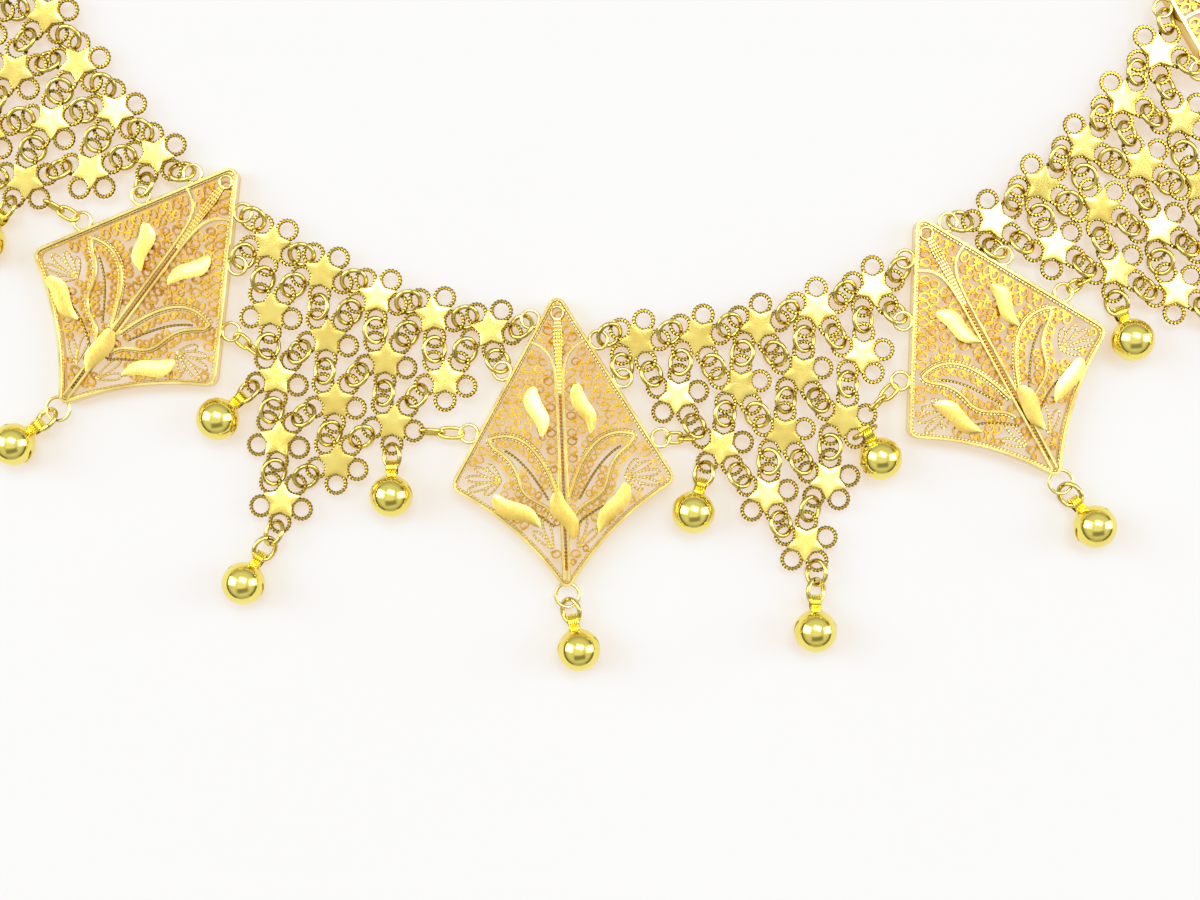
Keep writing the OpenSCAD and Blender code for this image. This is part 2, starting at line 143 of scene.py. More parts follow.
def line_axes(along: np.ndarray, tilt: float) -> tuple[np.ndarray, np.ndarray, np.ndarray]:
    """Axes with X on a line and Y level, turned about the line.

    Args:
        along: Direction of the line.
        tilt: Turn about the line in degrees.

    Returns:
        The X, Y and Z axes.
    """
    x = unit(along)
    y = unit(np.cross(UP, x))
    z = np.cross(x, y)
    c, s = math.cos(math.radians(tilt)), math.sin(math.radians(tilt))
    return x, y * c + z * s, z * c - y * s


def bezier(handles: Pairs, steps: int) -> np.ndarray:
    """Points of a curve through two ends with two handles.

    Args:
        handles: First end, its handle, the other handle and the other end.
        steps: Number of steps between the ends.

    Returns:
        The points, one a row.
    """
    t = np.linspace(0, 1, steps + 1)[:, None]
    s = 1 - t
    a, b, c, d = (np.array(h) for h in handles)
    return s**3 * a + 3 * s * s * t * b + 3 * s * t * t * c + t**3 * d


def arc(centre: tuple[float, float], radius: float, ends: tuple[float, float], steps: int) -> np.ndarray:
    """Points of an arc, with its end angles in degrees from the top and growing to the right."""
    a = np.radians(np.linspace(*ends, steps + 1))
    return np.array(centre) + radius * np.stack([np.sin(a), -np.cos(a)], axis=-1)


def run_of(points: np.ndarray) -> np.ndarray:
    """Distance of each point of a line from its start, along the line."""
    return np.concatenate([[0], np.cumsum(np.linalg.norm(np.diff(points, axis=0), axis=1))])


def resample(points: np.ndarray, step: float, closed: bool = False, multiple: int = 1) -> np.ndarray:
    """Even points along a line.

    Args:
        points: Points of the line.
        step: Distance wanted between points.
        closed: Whether the line returns to its start.
        multiple: The number of steps is a multiple of this.

    Returns:
        The even points. A closed line doesn't repeat its first point.
    """
    line = np.vstack([points, points[:1]]) if closed else points
    run = run_of(line)
    count = max(2, round(run[-1] / step / multiple) * multiple)
    at = np.linspace(0, run[-1], count + 1)
    if closed:
        at = at[:-1]
    return np.stack([np.interp(at, run, line[:, k]) for k in range(line.shape[1])], axis=-1)


def smoothed(points: np.ndarray, rounds: int) -> np.ndarray:
    """Open line with its corners eased over some rounds and its ends kept."""
    for _ in range(rounds):
        eased = (points[:-2] + 2 * points[1:-1] + points[2:]) / 4
        points = np.vstack([points[:1], eased, points[-1:]])
    return points


def beside(line: np.ndarray, offset: float) -> np.ndarray:
    """Line in a plane, moved to its left side by an offset."""
    run = np.gradient(line, axis=0)
    run /= np.linalg.norm(run, axis=1)[:, None]
    return line + offset * np.stack([-run[:, 1], run[:, 0]], axis=-1)


def mirrored(line: np.ndarray) -> np.ndarray:
    """Line on the other side of a kite's middle."""
    return line * np.array([-1.0, 1.0])


def inside(points: np.ndarray, outline: np.ndarray) -> np.ndarray:
    """Which points lie inside a closed outline.

    Args:
        points: Points to test.
        outline: Points of the outline.

    Returns:
        True for each point inside.
    """
    x, y = points[:, :1], points[:, 1:]
    ax, ay = outline[:, 0], outline[:, 1]
    bx, by = np.roll(ax, -1), np.roll(ay, -1)
    crosses = (ay > y) != (by > y)
    at = ax + (y - ay) * (bx - ax) / np.where(by == ay, 1e-9, by - ay)
    return (crosses & (x < at)).sum(axis=1) % 2 == 1


# Sections and faces


def round_section(radius: float, sides: int = 10) -> np.ndarray:
    """Section of a round wire."""
    return radius * circle(sides)[:, :2]


def strip_section(width: float, height: float, edge: float = 0.05) -> np.ndarray:
    """Section of a flat wire on edge, with broken corners."""
    w, h = width / 2, height / 2
    return np.array([
        [w, -h + edge], [w, h - edge], [w - edge, h], [-w + edge, h],
        [-w, h - edge], [-w, -h + edge], [-w + edge, -h], [w - edge, -h],
    ])


def lathe(profile: Sequence[tuple[float, float]], count: int) -> np.ndarray:
    """Rings of points of a shape turned about X, from the radius and the place along X of each."""
    flat = circle(count)[:, :2]
    return np.vstack([np.column_stack([np.full(count, x), r * flat]) for r, x in profile])


def grid_faces(rows: int, columns: int, loop_rows: bool = False, loop_columns: bool = True) -> np.ndarray:
    """Faces of a grid of points, row after row.

    Args:
        rows: Number of rows.
        columns: Number of points in a row.
        loop_rows: Whether the last row joins the first.
        loop_columns: Whether a row's last point joins its first.

    Returns:
        Four point numbers a face.
    """
    index = np.arange(rows * columns).reshape(rows, columns)
    below = index if loop_rows else index[:-1]
    above = np.roll(index, -1, axis=0) if loop_rows else index[1:]
    count = columns if loop_columns else columns - 1
    corners = [below, np.roll(below, -1, axis=1), np.roll(above, -1, axis=1), above]
    return np.stack([c[:, :count] for c in corners], axis=-1).reshape(-1, 4)


def end_faces(rows: int, columns: int) -> list[list[int]]:
    """Faces that close the first and the last row of a grid."""
    return [list(range(columns))[::-1], list(range((rows - 1) * columns, rows * columns))]


def tip_faces(rows: int, columns: int) -> list[list[int]]:
    """Faces from the last row of a grid to the one point that follows it."""
    last = (rows - 1) * columns
    return [[last + j, last + (j + 1) % columns, last + columns] for j in range(columns)]


# Finishes


def to_linear(tone: str) -> tuple[float, float, float, float]:
    """Linear colour of an sRGB hex value such as F2D16B."""
    parts = [int(tone[k : k + 2], 16) / 255 for k in (0, 2, 4)]
    red, green, blue = (p / 12.92 if p <= 0.04045 else ((p + 0.055) / 1.055) ** 2.4 for p in parts)
    return red, green, blue, 1.0


def feed(tree: Tree, node: bpy.types.Node, inputs: dict[str | int, object]) -> None:
    """Gives a node's inputs their values and links.

    Args:
        tree: Node tree of the node.
        node: The node.
        inputs: A value or another node's output for each input, by name or number.
    """
    for name, value in inputs.items():
        if isinstance(value, Socket):
            tree.links.new(value, node.inputs[name])
        else:
            node.inputs[name].default_value = value


def add_node(
    tree: Tree,
    kind: str,
    inputs: dict[str | int, object] | None = None,
    settings: dict[str, str] | None = None,
    output: str | int = 0,
) -> Socket:
    """Adds a node, with its settings, values and links.

    Args:
        tree: Node tree to add it to.
        kind: Blender's name of the kind of node, after ShaderNode.
        inputs: A value or another node's output for each input, by name or number.
        settings: Properties of the node.
        output: Which of its outputs is wanted.

    Returns:
        That output.
    """
    node = tree.nodes.new(f"ShaderNode{kind}")
    for name, value in (settings or {}).items():
        setattr(node, name, value)
    feed(tree, node, inputs or {})
    return node.outputs[output]


def add_math(tree: Tree, operation: str, first: Socket, second: Socket | float = 0.0) -> Socket:
    """Adds a node that makes one number from two, and returns its output."""
    return add_node(tree, "Math", {0: first, 1: second}, {"operation": operation})


def add_range(
    tree: Tree, value: Socket, old: Sequence[float], new: Sequence[float], smooth: bool = False
) -> Socket:
    """Adds a node that maps one range of values onto another.

    Args:
        tree: Node tree to add it to.
        value: Output to map.
        old: Both ends of its range.
        new: What they become.
        smooth: Whether the change between them is eased.

    Returns:
        The mapped value.
    """
    ends = {"From Min": old[0], "From Max": old[1], "To Min": new[0], "To Max": new[1]}
    kind = "SMOOTHSTEP" if smooth else "LINEAR"
    return add_node(tree, "MapRange", {"Value": value, **ends}, {"interpolation_type": kind})


def add_clouds(tree: Tree, size_mm: float) -> Socket:
    """Adds soft noise of a size on the object itself, and returns its output."""
    place = add_node(tree, "TexCoord", output="Object")
    return add_node(tree, "TexNoise", {"Vector": place, "Scale": 1 / (size_mm * MM), "Detail": 2.0})


def add_tones(tree: Tree, share: Socket, tone: str, deep_tone: str) -> Socket:
    """Adds a mix of two sRGB tones, and returns its colour."""
    tones = {0: share, 6: to_linear(tone), 7: to_linear(deep_tone)}
    return add_node(tree, "Mix", tones, {"data_type": "RGBA"}, output=2)


def new_material(name: str) -> tuple[bpy.types.Material, Tree, bpy.types.Node]:
    """Makes a material, and returns it with its node tree and its shader."""
    made = bpy.data.materials.new(name)
    made.use_nodes = True
    return made, made.node_tree, made.node_tree.nodes["Principled BSDF"]


@dataclass(frozen=True)
class GoldFinish:
    """Gold with a surface made in one way.

    Attributes:
        name: Name of the material.
        tone: Colour of its bright places, sRGB hex.
        deep_tone: Colour of its painted shade in grooves and on sides and undersides, and of its random
            deeper patches, sRGB hex.
        roughness: Lowest and highest roughness over the surface.
        grain_mm: Size of its grain in millimetres, across and along.
        depth_mm: Depth of its grain in millimetres.
        hollow: How far that painted shade takes deep_tone, from 0 to 1.
        cloud_mm: Size in millimetres of its broad patches of slightly deeper colour.
        worn: How far these patches take deep_tone.
    """

    name: str
    tone: str
    deep_tone: str
    roughness: tuple[float, float]
    grain_mm: tuple[float, float]
    depth_mm: float
    hollow: float = 0.0
    cloud_mm: float = 4.0
    worn: float = 0.45

    def material(self) -> bpy.types.Material:
        """Builds the material.

        Returns:
            The material with its node tree.
        """
        made, tree, shader = new_material(self.name)
        across, along = (1 / (g * MM) for g in self.grain_mm)
        place = add_node(tree, "TexCoord", output="Object")
        scaled = add_node(tree, "Mapping", {"Vector": place, "Scale": (across, along, across)})
        fine = {"Vector": scaled, "Scale": 1.0, "Detail": 3.0, "Roughness": 0.6}
        grain = add_node(tree, "TexNoise", fine)
        wear = add_range(tree, add_clouds(tree, self.cloud_mm), (0.35, 0.65), (0.0, self.worn))
        # Painted shade stored on the mesh: grooves of twisted wire, sides and undersides, and scrolls deep
        # in the work
        groove = add_node(tree, "Attribute", settings={"attribute_name": "hollow"}, output="Fac")
        # Deep tone wherever painted shade or the random patches call for it
        deep = add_math(tree, "MAXIMUM", add_math(tree, "MULTIPLY", groove, self.hollow), wear)
        relief = {"Strength": 1.0, "Distance": self.depth_mm * MM, "Height": grain}
        feed(tree, shader, {
            "Metallic": 1.0,
            "Base Color": add_tones(tree, deep, self.tone, self.deep_tone),
            "Roughness": add_range(tree, grain, (0.3, 0.7), self.roughness),
            "Normal": add_node(tree, "Bump", relief),
        })
        return made


# Drawn and rolled wire: a hard bright line along each edge, and painted shade on its sides and in the
# grooves of its twisted wires
FLAT_WIRE = GoldFinish("gold_flat_wire", "FFF29C", "C48A2A", (0.12, 0.24), (0.25, 0.25), 0.004, 0.6)
# Two fine wires twisted: bright strands, with painted shade in dark olive in the grooves and on the
# undersides
TWISTED_WIRE = GoldFinish("gold_twisted_wire", "F4DA5C", "6A4A0C", (0.16, 0.3), (0.2, 0.2), 0.004, 1.0)
# Scrolls and beaded wire: painted shade in deep orange on their sides and grooves, more of it on scrolls
# deeper in the work, less on their tops
SCROLL_WIRE = GoldFinish("gold_filigree_scroll", "FCD252", "963E04", (0.14, 0.26), (0.2, 0.2), 0.005, 1.0)
# Thin sheet brushed along its length: a silky streak
BRUSHED_SHEET = GoldFinish("gold_brushed_sheet", "FADE7A", "DCB24A", (0.22, 0.38), (0.12, 0.9), 0.012)
# Sheet frosted with fine grit: it turns from pale to deep yellow with its tilt
FROSTED_SHEET = GoldFinish("gold_frosted_sheet", "F6E482", "D8B048", (0.14, 0.26), (0.16, 0.16), 0.014)
# Round wire polished by tumbling: a bright line on top, and dark olive sides that are painted shade
POLISHED_WIRE = GoldFinish("gold_polished_wire", "F8E276", "6C5012", (0.06, 0.16), (0.6, 0.6), 0.003, 1.0)
# Drawn wire of cable chain, tumbled after linking: bright, with painted shade in a soft warm tone on its
# sides and undersides
CHAIN_WIRE = GoldFinish("gold_chain_wire", "F4E06C", "B08A34", (0.08, 0.18), (0.6, 0.6), 0.003, 1.0)
# Spun and burnished shell: a soft mirror with faint ripples
BURNISHED_SHELL = GoldFinish("gold_burnished_shell", "F8E87C", "F0DA62", (0.1, 0.17), (1.2, 1.2), 0.004)
FINISHES = (
    FLAT_WIRE, TWISTED_WIRE, SCROLL_WIRE, BRUSHED_SHEET,
    FROSTED_SHEET, POLISHED_WIRE, CHAIN_WIRE, BURNISHED_SHELL,
)


# Pieces in general


@dataclass
class MeshPile:
    """Points and faces of one piece, gathered before its mesh is made.

    Attributes:
        points: Arrays of points.
        faces: Point numbers of each face.
        dress: Each finish in turn with the number of faces that have it.
        hollows: Painted shade at each point, from 0 to 1, that the finishes mix in as deep tone.
        count: Number of points so far.
    """

    points: list[np.ndarray] = field(default_factory=list)
    faces: list[list[int]] = field(default_factory=list)
    dress: list[tuple[GoldFinish, int]] = field(default_factory=list)
    hollows: list[np.ndarray] = field(default_factory=list)
    count: int = 0

    # Upward lean of a surface below which it gets painted shade, more the further it faces down
    UNDER_FROM: ClassVar[float] = 0.8
    # How much of that painted shade shows where painted shade is also given, as in grooves or scrolls
    UNDER_SHARE: ClassVar[float] = 0.7
    # A rope's sides, and the radius of its strands and of its grooves
    ROPE_SIDES: ClassVar[int] = 6
    STRAND: ClassVar[float] = 1.17
    GROOVE: ClassVar[float] = 0.8

    def add(
        self,
        points: np.ndarray,
        faces: list[list[int]],
        finish: GoldFinish,
        hollow: np.ndarray | None = None,
    ) -> None:
        """Adds points and faces, with faces counted from the first of these points.

        Args:
            points: Points, one a row.
            faces: Point numbers of each face.
            finish: Finish of these faces.
            hollow: Painted shade at each point, from 0 to 1.
        """
        self.hollows.append(np.zeros(len(points)) if hollow is None else hollow.reshape(-1))
        self.points.append(points)
        self.faces.extend([v + self.count for v in face] for face in faces)
        self.dress.append((finish, len(faces)))
        self.count += len(points)

    def sweep(
        self,
        path: np.ndarray,
        section: np.ndarray,
        finish: GoldFinish,
        up: np.ndarray = UP,
        closed: bool = False,
        hollow: np.ndarray | None = None,
    ) -> None:
        """Adds a wire along a path.

        Points that face sideways or down get painted shade, more the further they face down.

        Args:
            path: Points of the wire's middle.
            section: Points of its section, to the side and up, or one such section a step.
            finish: Its finish.
            up: Direction that the section's second number is measured along.
            closed: Whether the wire returns to its start.
            hollow: Painted shade at each point of each section, such as in a rope's grooves or on a scroll
                deep in the work.
        """
        if closed:
            run = np.roll(path, -1, axis=0) - np.roll(path, 1, axis=0)
        else:
            run = np.gradient(path, axis=0)
        run /= np.maximum(np.linalg.norm(run, axis=1), 1e-9)[:, None]
        side = np.cross(up, run)
        side /= np.maximum(np.linalg.norm(side, axis=1), 1e-9)[:, None]
        lift = np.cross(run, side)
        out = section[..., :1] * side[:, None] + section[..., 1:] * lift[:, None]
        rows = path[:, None] + out
        # Painted shade on faces that turn away from straight up, joined with any painted shade given
        facing = out[..., 2] / np.maximum(np.linalg.norm(out, axis=-1), 1e-9)
        under = np.clip((self.UNDER_FROM - facing) / self.UNDER_FROM, 0.0, 1.0)
        if hollow is not None:
            under = np.maximum(under * self.UNDER_SHARE, hollow)
        faces = grid_faces(*rows.shape[:2], closed).tolist()
        if not closed:
            faces += end_faces(*rows.shape[:2])
        self.add(rows.reshape(-1, 3), faces, finish, under)

    def rope(
        self,
        path: np.ndarray,
        radius: float,
        finish: GoldFinish,
        up: np.ndarray = UP,
        closed: bool = False,
        pitch: float = 0.15,
    ) -> None:
        """Adds two wires twisted together along a path.

        Args:
            path: Points of the rope's middle.
            radius: Radius of the rope, to the middle of its strands' bulge.
            finish: Its finish.
            up: Direction that its sections stand along.
            closed: Whether the rope returns to its start.
            pitch: Distance between its steps, a third of the distance between strands.
        """
        line = resample(path, pitch, closed, 3)
        turn = np.arange(len(line))[:, None] + np.arange(self.ROPE_SIDES)[None, :]
        strand = turn % 3 == 0
        bulge = np.where(strand, self.STRAND, self.GROOVE)
        section = round_section(radius, self.ROPE_SIDES)[None] * bulge[..., None]
        # Painted shade in the grooves between the strands
        self.sweep(line, section, finish, up, closed, np.where(strand, 0.0, 1.0))


@dataclass(frozen=True)
class Part:
    """One piece of the necklace.

    Attributes:
        slot: Material slot of the record.
        crease: Edges sharper than this many degrees stay sharp.
        name: Name of the piece.
        node: CAD node that it stands for.
    """

    slot: ClassVar[Slot]
    crease: ClassVar[float] = 38.0

    name: str
    node: str

    def fill(self, pile: MeshPile) -> None:
        """Adds the piece's points and faces to a pile."""
        raise NotImplementedError

    def build(self, materials: dict[str, bpy.types.Material]) -> None:
        """Builds and dresses the piece, which rides on the necklace's body.

        Args:
            materials: The materials by name.
        """
        pile = MeshPile()
        self.fill(pile)
        mesh = bpy.data.meshes.new(self.name)
        points = (np.vstack(pile.points) + COLLAR_MIDDLE) * MM
        mesh.from_pydata(points.tolist(), [], pile.faces)
        used = list(dict.fromkeys(finish.name for finish, _ in pile.dress))
        for finish_name in used:
            mesh.materials.append(materials[finish_name])
        numbers = [used.index(finish.name) for finish, _ in pile.dress]
        worn_by = np.repeat(numbers, [count for _, count in pile.dress])
        mesh.polygons.foreach_set("material_index", worn_by.tolist())
        mesh.polygons.foreach_set("use_smooth", [True] * len(mesh.polygons))
        # Painted shade for each point, which each finish reads to mix in its deep tone
        depth = mesh.attributes.new("hollow", "FLOAT", "POINT")
        depth.data.foreach_set("value", np.concatenate(pile.hollows))
        mesh.update()
        mesh.set_sharp_from_angle(angle=math.radians(self.crease))
        piece = bpy.data.objects.new(self.name, mesh)
        bpy.context.scene.collection.objects.link(piece)
        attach(piece, BODY)
        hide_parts(self.node)
        LOG.info("%s: %d faces", self.name, len(mesh.polygons))


# Plan of the necklace, with the same numbers as its CAD model


@dataclass(frozen=True)
class KitePlace:
    """Place of one kite.

    Attributes:
        at: Angle of its top on the collar's circle.
        turn: Direction of its tip.
        bell: Direction of its bell.
        holds: Distances of the eyelets from the top, on the left and on the right.
    """

    at: float
    turn: float
    bell: float
    holds: tuple[tuple[float, ...], tuple[float, ...]]


@dataclass(frozen=True)
class PanelPlace:
    """Place of one panel of stars.

    Attributes:
        at: Angle of its middle.
        step: Angle between the stars of its top row.
        pitch: Distance between the stars of a lower row.
        row: Distance between rows.
        shifts: How far each lower row is moved to the left of the row above.
        bells: Directions of its left, right and tip bells.
    """

    at: float
    step: float
    pitch: float
    row: float
    shifts: tuple[float, ...]
    bells: tuple[float, float, float]


@dataclass(frozen=True)
class CollarPlan:
    """Sizes and places that several parts share."""

    collar_r: float = 76.5
    top_row_r: float = 81.5
    link_z: float = 1.55
    kite_l: float = 35.8
    half_angle: float = math.degrees(math.atan(13.8 / 22.6))
    eyelet_r: float = 1.12
    eyelet_z: float = 2.0
    eyelet_out: float = 1.6
    eyelet_taper: float = 60
    chain_eyelet_z: float = 1.45
    tip_eyelet_out: float = 1.1
    drop_hook: float = 3.4
    point_r: float = 2.44
    notch_r: float = 1.36
    star_lean: float = 2.5
    loop_r: float = 1.2
    loop_wire: float = 0.245
    loop_at: float = 2.65
    ring_r: float = 1.5
    tip_rings: tuple[tuple[float, float], ...] = ((1.5, 45.0), (3.8, -45.0))
    tip_hook: float = 5.25
    side_hook: float = 3.0
    standing: tuple[int, BellPlace] = (2, BellPlace.RIGHT)
    standing_rise: float = 0.75
    standing_out: float = 0.35
    # Row, star and loop that hold the left, right and tip bells
    bell_holds: tuple[tuple[int, int, int], ...] = ((2, 0, 3), (2, 2, 4), (4, 0, 4))
    bell_r: float = 2.65
    bell_loop_at: float = 3.6
    kites: tuple[KitePlace, ...] = (
        KitePlace(71.6, 70, 62, ((4.8,), (5.6, 11.7, 20))),
        KitePlace(38.0, 36.6, 50, ((5.0, 12.0, 20), (5.2, 11.8, 20))),
        KitePlace(5.4, -2.1, -12, ((3.9, 11.2, 20), (7.2, 12.8, 21.6))),
        KitePlace(-29.6, -28.5, -36, ((4.9, 12.6, 20), (3.2, 11.2, 20))),
        KitePlace(-61.8, -60.6, -66, ((3.8, 12.8, 20), (4.8,))),
    )
    panels: tuple[PanelPlace, ...] = (
        PanelPlace(54.7, 5.2, 7.75, 6.9, (0, -0.25, -0.1, 0), (62, 32, 55)),
        PanelPlace(21.2, 5.17, 7.75, 6.98, (0, 0.2, 0.9, 0.8), (46, 0, 30)),
        PanelPlace(-12.65, 5.3, 7.85, 6.9, (0, -0.1, -0.2, 0.5), (16, -30, 2)),
        PanelPlace(-45.6, 5.17, 7.45, 7.03, (0.45, 0.45, 0.4, 0.4), (-20, -70, -45)),
    )

    def kite_points(self, kite: int, line: np.ndarray, z: float) -> np.ndarray:
        """Points of a kite at one height, from rows of u to the right and v from its top."""
        place = self.kites[kite]
        top = self.collar_r * heading(place.at) + z * UP
        return top + line[:, :1] * sideways(place.turn) + line[:, 1:] * heading(place.turn)

    def eyelet(self, kite: int, side: Side, hold: Hold) -> np.ndarray:
        """Middle of an eyelet on a kite's side.

        Args:
            kite: Number of the kite, from 0.
            side: Side of the kite.
            hold: Which eyelet on that side.

        Returns:
            The point.
        """
        along = self.kites[kite].holds[side][hold]
        out = self.eyelet_out - along / self.eyelet_taper
        c, s = math.cos(math.radians(self.half_angle)), math.sin(math.radians(self.half_angle))
        u = s * along + c * out
        z = self.chain_eyelet_z if hold == Hold.CHAIN else self.eyelet_z
        spot = np.array([[-u if side == Side.LEFT else u, c * along - s * out]])
        return self.kite_points(kite, spot, z)[0]

    def tip_eyelet(self, kite: int) -> np.ndarray:
        """Middle of the eyelet at a kite's tip."""
        return self.kite_points(kite, np.array([[0, self.kite_l + self.tip_eyelet_out]]), self.link_z)[0]

    def stars(self) -> Iterator[tuple[int, int]]:
        """Row and place in the row of each star of a panel, from the top left."""
        return ((row, i) for row in range(5) for i in range(5 - row))

    def star_corners(self) -> np.ndarray:
        """Corners of a star's plate, from a notch on its right and turning left."""
        angles = (math.radians(36 * k) for k in range(10))
        radii = [self.notch_r, self.point_r] * 5
        return np.array([[r * math.cos(a), r * math.sin(a)] for r, a in zip(radii, angles)])

    def star_at(self, panel: int, row: int, i: int) -> np.ndarray:
        """Middle of a star.

        Args:
            panel: Number of the panel.
            row: Row, from the top.
            i: Star in the row, from the left.

        Returns:
            The point.
        """
        place = self.panels[panel]
        if row == 0:
            return self.top_row_r * heading(place.at - (i - 2) * place.step) + self.link_z * UP
        x = (i - (4 - row) / 2) * place.pitch - sum(place.shifts[:row])
        bow = max(0.0, 1 - row / 3) * x * x / (2 * self.top_row_r)
        out = self.top_row_r + row * place.row - bow
        return out * heading(place.at) + x * sideways(place.at) + self.link_z * UP

    def star_axes(self, panel: int, row: int, i: int, extra: float = 0.0) -> np.ndarray:
        """Axes of a star as the columns of a matrix.

        Args:
            panel: Number of the panel.
            row: Row, from the top.
            i: Star in the row, from the left.
            extra: More tilt in degrees, for its plate alone.

        Returns:
            The matrix.
        """
        number = 16 * panel + 5 * row + i
        place = self.panels[panel]
        yaw = 2 * wobble(number) - (place.at - (i - 2) * place.step if row == 0 else place.at)
        tilt_x = self.star_lean * wobble(number + 4) + extra * wobble(5 * number + 2)
        tilt_y = self.star_lean * wobble(3 * number + 1) + extra * wobble(7 * number + 3)
        a, b, c = (math.radians(t) for t in (tilt_x, tilt_y, yaw))
        about_x = np.array([[1, 0, 0], [0, math.cos(a), -math.sin(a)], [0, math.sin(a), math.cos(a)]])
        about_y = np.array([[math.cos(b), 0, math.sin(b)], [0, 1, 0], [-math.sin(b), 0, math.cos(b)]])
        about_z = np.array([[math.cos(c), -math.sin(c), 0], [math.sin(c), math.cos(c), 0], [0, 0, 1]])
        return about_y @ about_x @ about_z

    def star_loop(self, panel: int, row: int, i: int, loop: int) -> np.ndarray:
        """Middle of one of a star's five loops, counted from the right and turning left."""
        a = math.radians(72 * loop)
        out = self.loop_at * np.array([math.cos(a), math.sin(a), 0.0])
        return self.star_at(panel, row, i) + self.star_axes(panel, row, i) @ out

    def hung(
        self, panel: int, place: BellPlace
    ) -> tuple[list[tuple[np.ndarray, np.ndarray, float]], np.ndarray]:
        """Rings between a star's loop and a panel's bell.

        Args:
            panel: Number of the panel.
            place: Which of its bells.

        Returns:
            Both ends and the lean of each ring, and the middle of the bell's own loop.
        """
        row, i, loop = self.bell_holds[place]
        start = self.star_loop(panel, row, i, loop)
        start[2] = self.link_z
        direction = self.panels[panel].bells[place]
        ahead, level = heading(direction), sideways(direction)
        if (panel, place) == self.standing:
            out = math.sqrt(self.ring_r**2 - self.standing_rise**2)
            middle = start + out * level + self.standing_rise * UP
            hook = start + out * level + (self.standing_rise + self.ring_r) * UP
            return [(middle - level, middle + level, 90.0)], hook + self.standing_out * ahead
        if place == BellPlace.TIP:
            rings = [(start + (at - 1) * ahead, start + (at + 1) * ahead, t) for at, t in self.tip_rings]
            return rings, start + self.tip_hook * ahead
        hook = start + self.side_hook * ahead
        return [(start, hook, 45.0)], hook

    def bell_middle(self, hook: np.ndarray, direction: float) -> np.ndarray:
        """Middle of a bell's ball, from the middle of its own loop and its direction."""
        reach = math.sqrt(self.bell_loop_at**2 - (self.bell_r - hook[2]) ** 2)
        point = hook + reach * heading(direction)
        return np.array([point[0], point[1], self.bell_r])


PLAN = CollarPlan()


# Kites


@dataclass(frozen=True)
class Scroll:
    """Small open scroll of fine flat wire.

    Attributes:
        centre: Its middle, in the kite's plane.
        radius: Its outer radius across.
        stretch: How much longer it is than broad.
        turn: Direction of its length in degrees.
        hand: 1 or -1, the way it curls.
    """

    centre: np.ndarray
    radius: float
    stretch: float
    turn: float
    hand: int

    # Angle that it winds through, and how much of it lies before its length, in degrees
    WINDING: ClassVar[float] = 440
    START: ClassVar[float] = 160
    # How far it draws in, as a share of its radius, and how late
    CURL: ClassVar[float] = 0.5
    LATE: ClassVar[float] = 2.2

    def line(self) -> np.ndarray:
        """Points of its wire, from the open end to the curled one."""
        t = np.linspace(0, 1, 16)
        a = self.hand * (t * math.radians(self.WINDING) - math.radians(self.START))
        r = self.radius * (1 - self.CURL * t**self.LATE)
        shape = np.stack([self.stretch * r * np.cos(a), r * np.sin(a)], axis=-1)
        return self.centre + shape @ turned(self.turn)

    def spots(self) -> np.ndarray:
        """Circles that cover it, each as its middle and radius."""
        a = math.radians(self.turn)
        way = (self.stretch - 1) * self.radius * np.array([math.cos(a), math.sin(a)])
        return np.array([[*(self.centre - way), self.radius], [*(self.centre + way), self.radius]])


@dataclass(frozen=True)
class Leaf:
    """Sheet leaf of a kite.

    Attributes:
        u: Its middle's place to the right.
        v: Its middle's place from the kite's top.
        length: Its length.
        width: Its width.
        turn: Direction of its length in degrees.
        bend: How far it bends like an S, and which way.
        glint: How far it tips towards the high lamp.
    """

    u: float
    v: float
    length: float
    width: float
    turn: float
    bend: float
    glint: float


# Leaves read from the photo's second, third and fourth kite
LEAF_SETS = (
    (
        Leaf(-3.3, 14.4, 5.9, 2.1, 60, -1, 0.1),
        Leaf(3.0, 13.4, 6.1, 2.1, 109, -1, 1.0),
        Leaf(-7.5, 25.5, 6.3, 2.2, 18, -1, -0.5),
        Leaf(6.2, 26.1, 6.7, 2.1, 129, -1, 0.9),
        Leaf(0.0, 28.0, 6.1, 2.4, 85, -0.6, -1.0),
    ),
    (
        Leaf(-2.9, 14.0, 6.2, 2.2, 80, 1, 1.0),
        Leaf(2.9, 13.8, 6.3, 2.0, 75, 1, 0.1),
        Leaf(-5.9, 26.3, 6.8, 2.3, 34, 1, -0.2),
        Leaf(6.1, 26.2, 6.8, 2.1, 122, -1, 0.0),
        Leaf(0.1, 27.0, 6.2, 2.3, 72, 1, -0.4),
    ),
    (
        Leaf(-2.2, 13.9, 6.5, 2.2, 62, -1, 1.0),
        Leaf(4.2, 14.3, 6.1, 2.0, 85, -1, 0.0),
        Leaf(-7.6, 23.8, 6.7, 2.2, 58, -1, -0.2),
        Leaf(6.7, 26.2, 6.2, 2.1, 150, -0.5, 0.7),
        Leaf(1.0, 27.0, 6.1, 2.2, 88, -0.5, -0.5),
    ),
)
# Which of them each kite has
LEAF_SET_OF = (0, 0, 1, 2, 2)
# Where the lamp that stands highest is, in degrees
HIGH_LAMP = 75.0


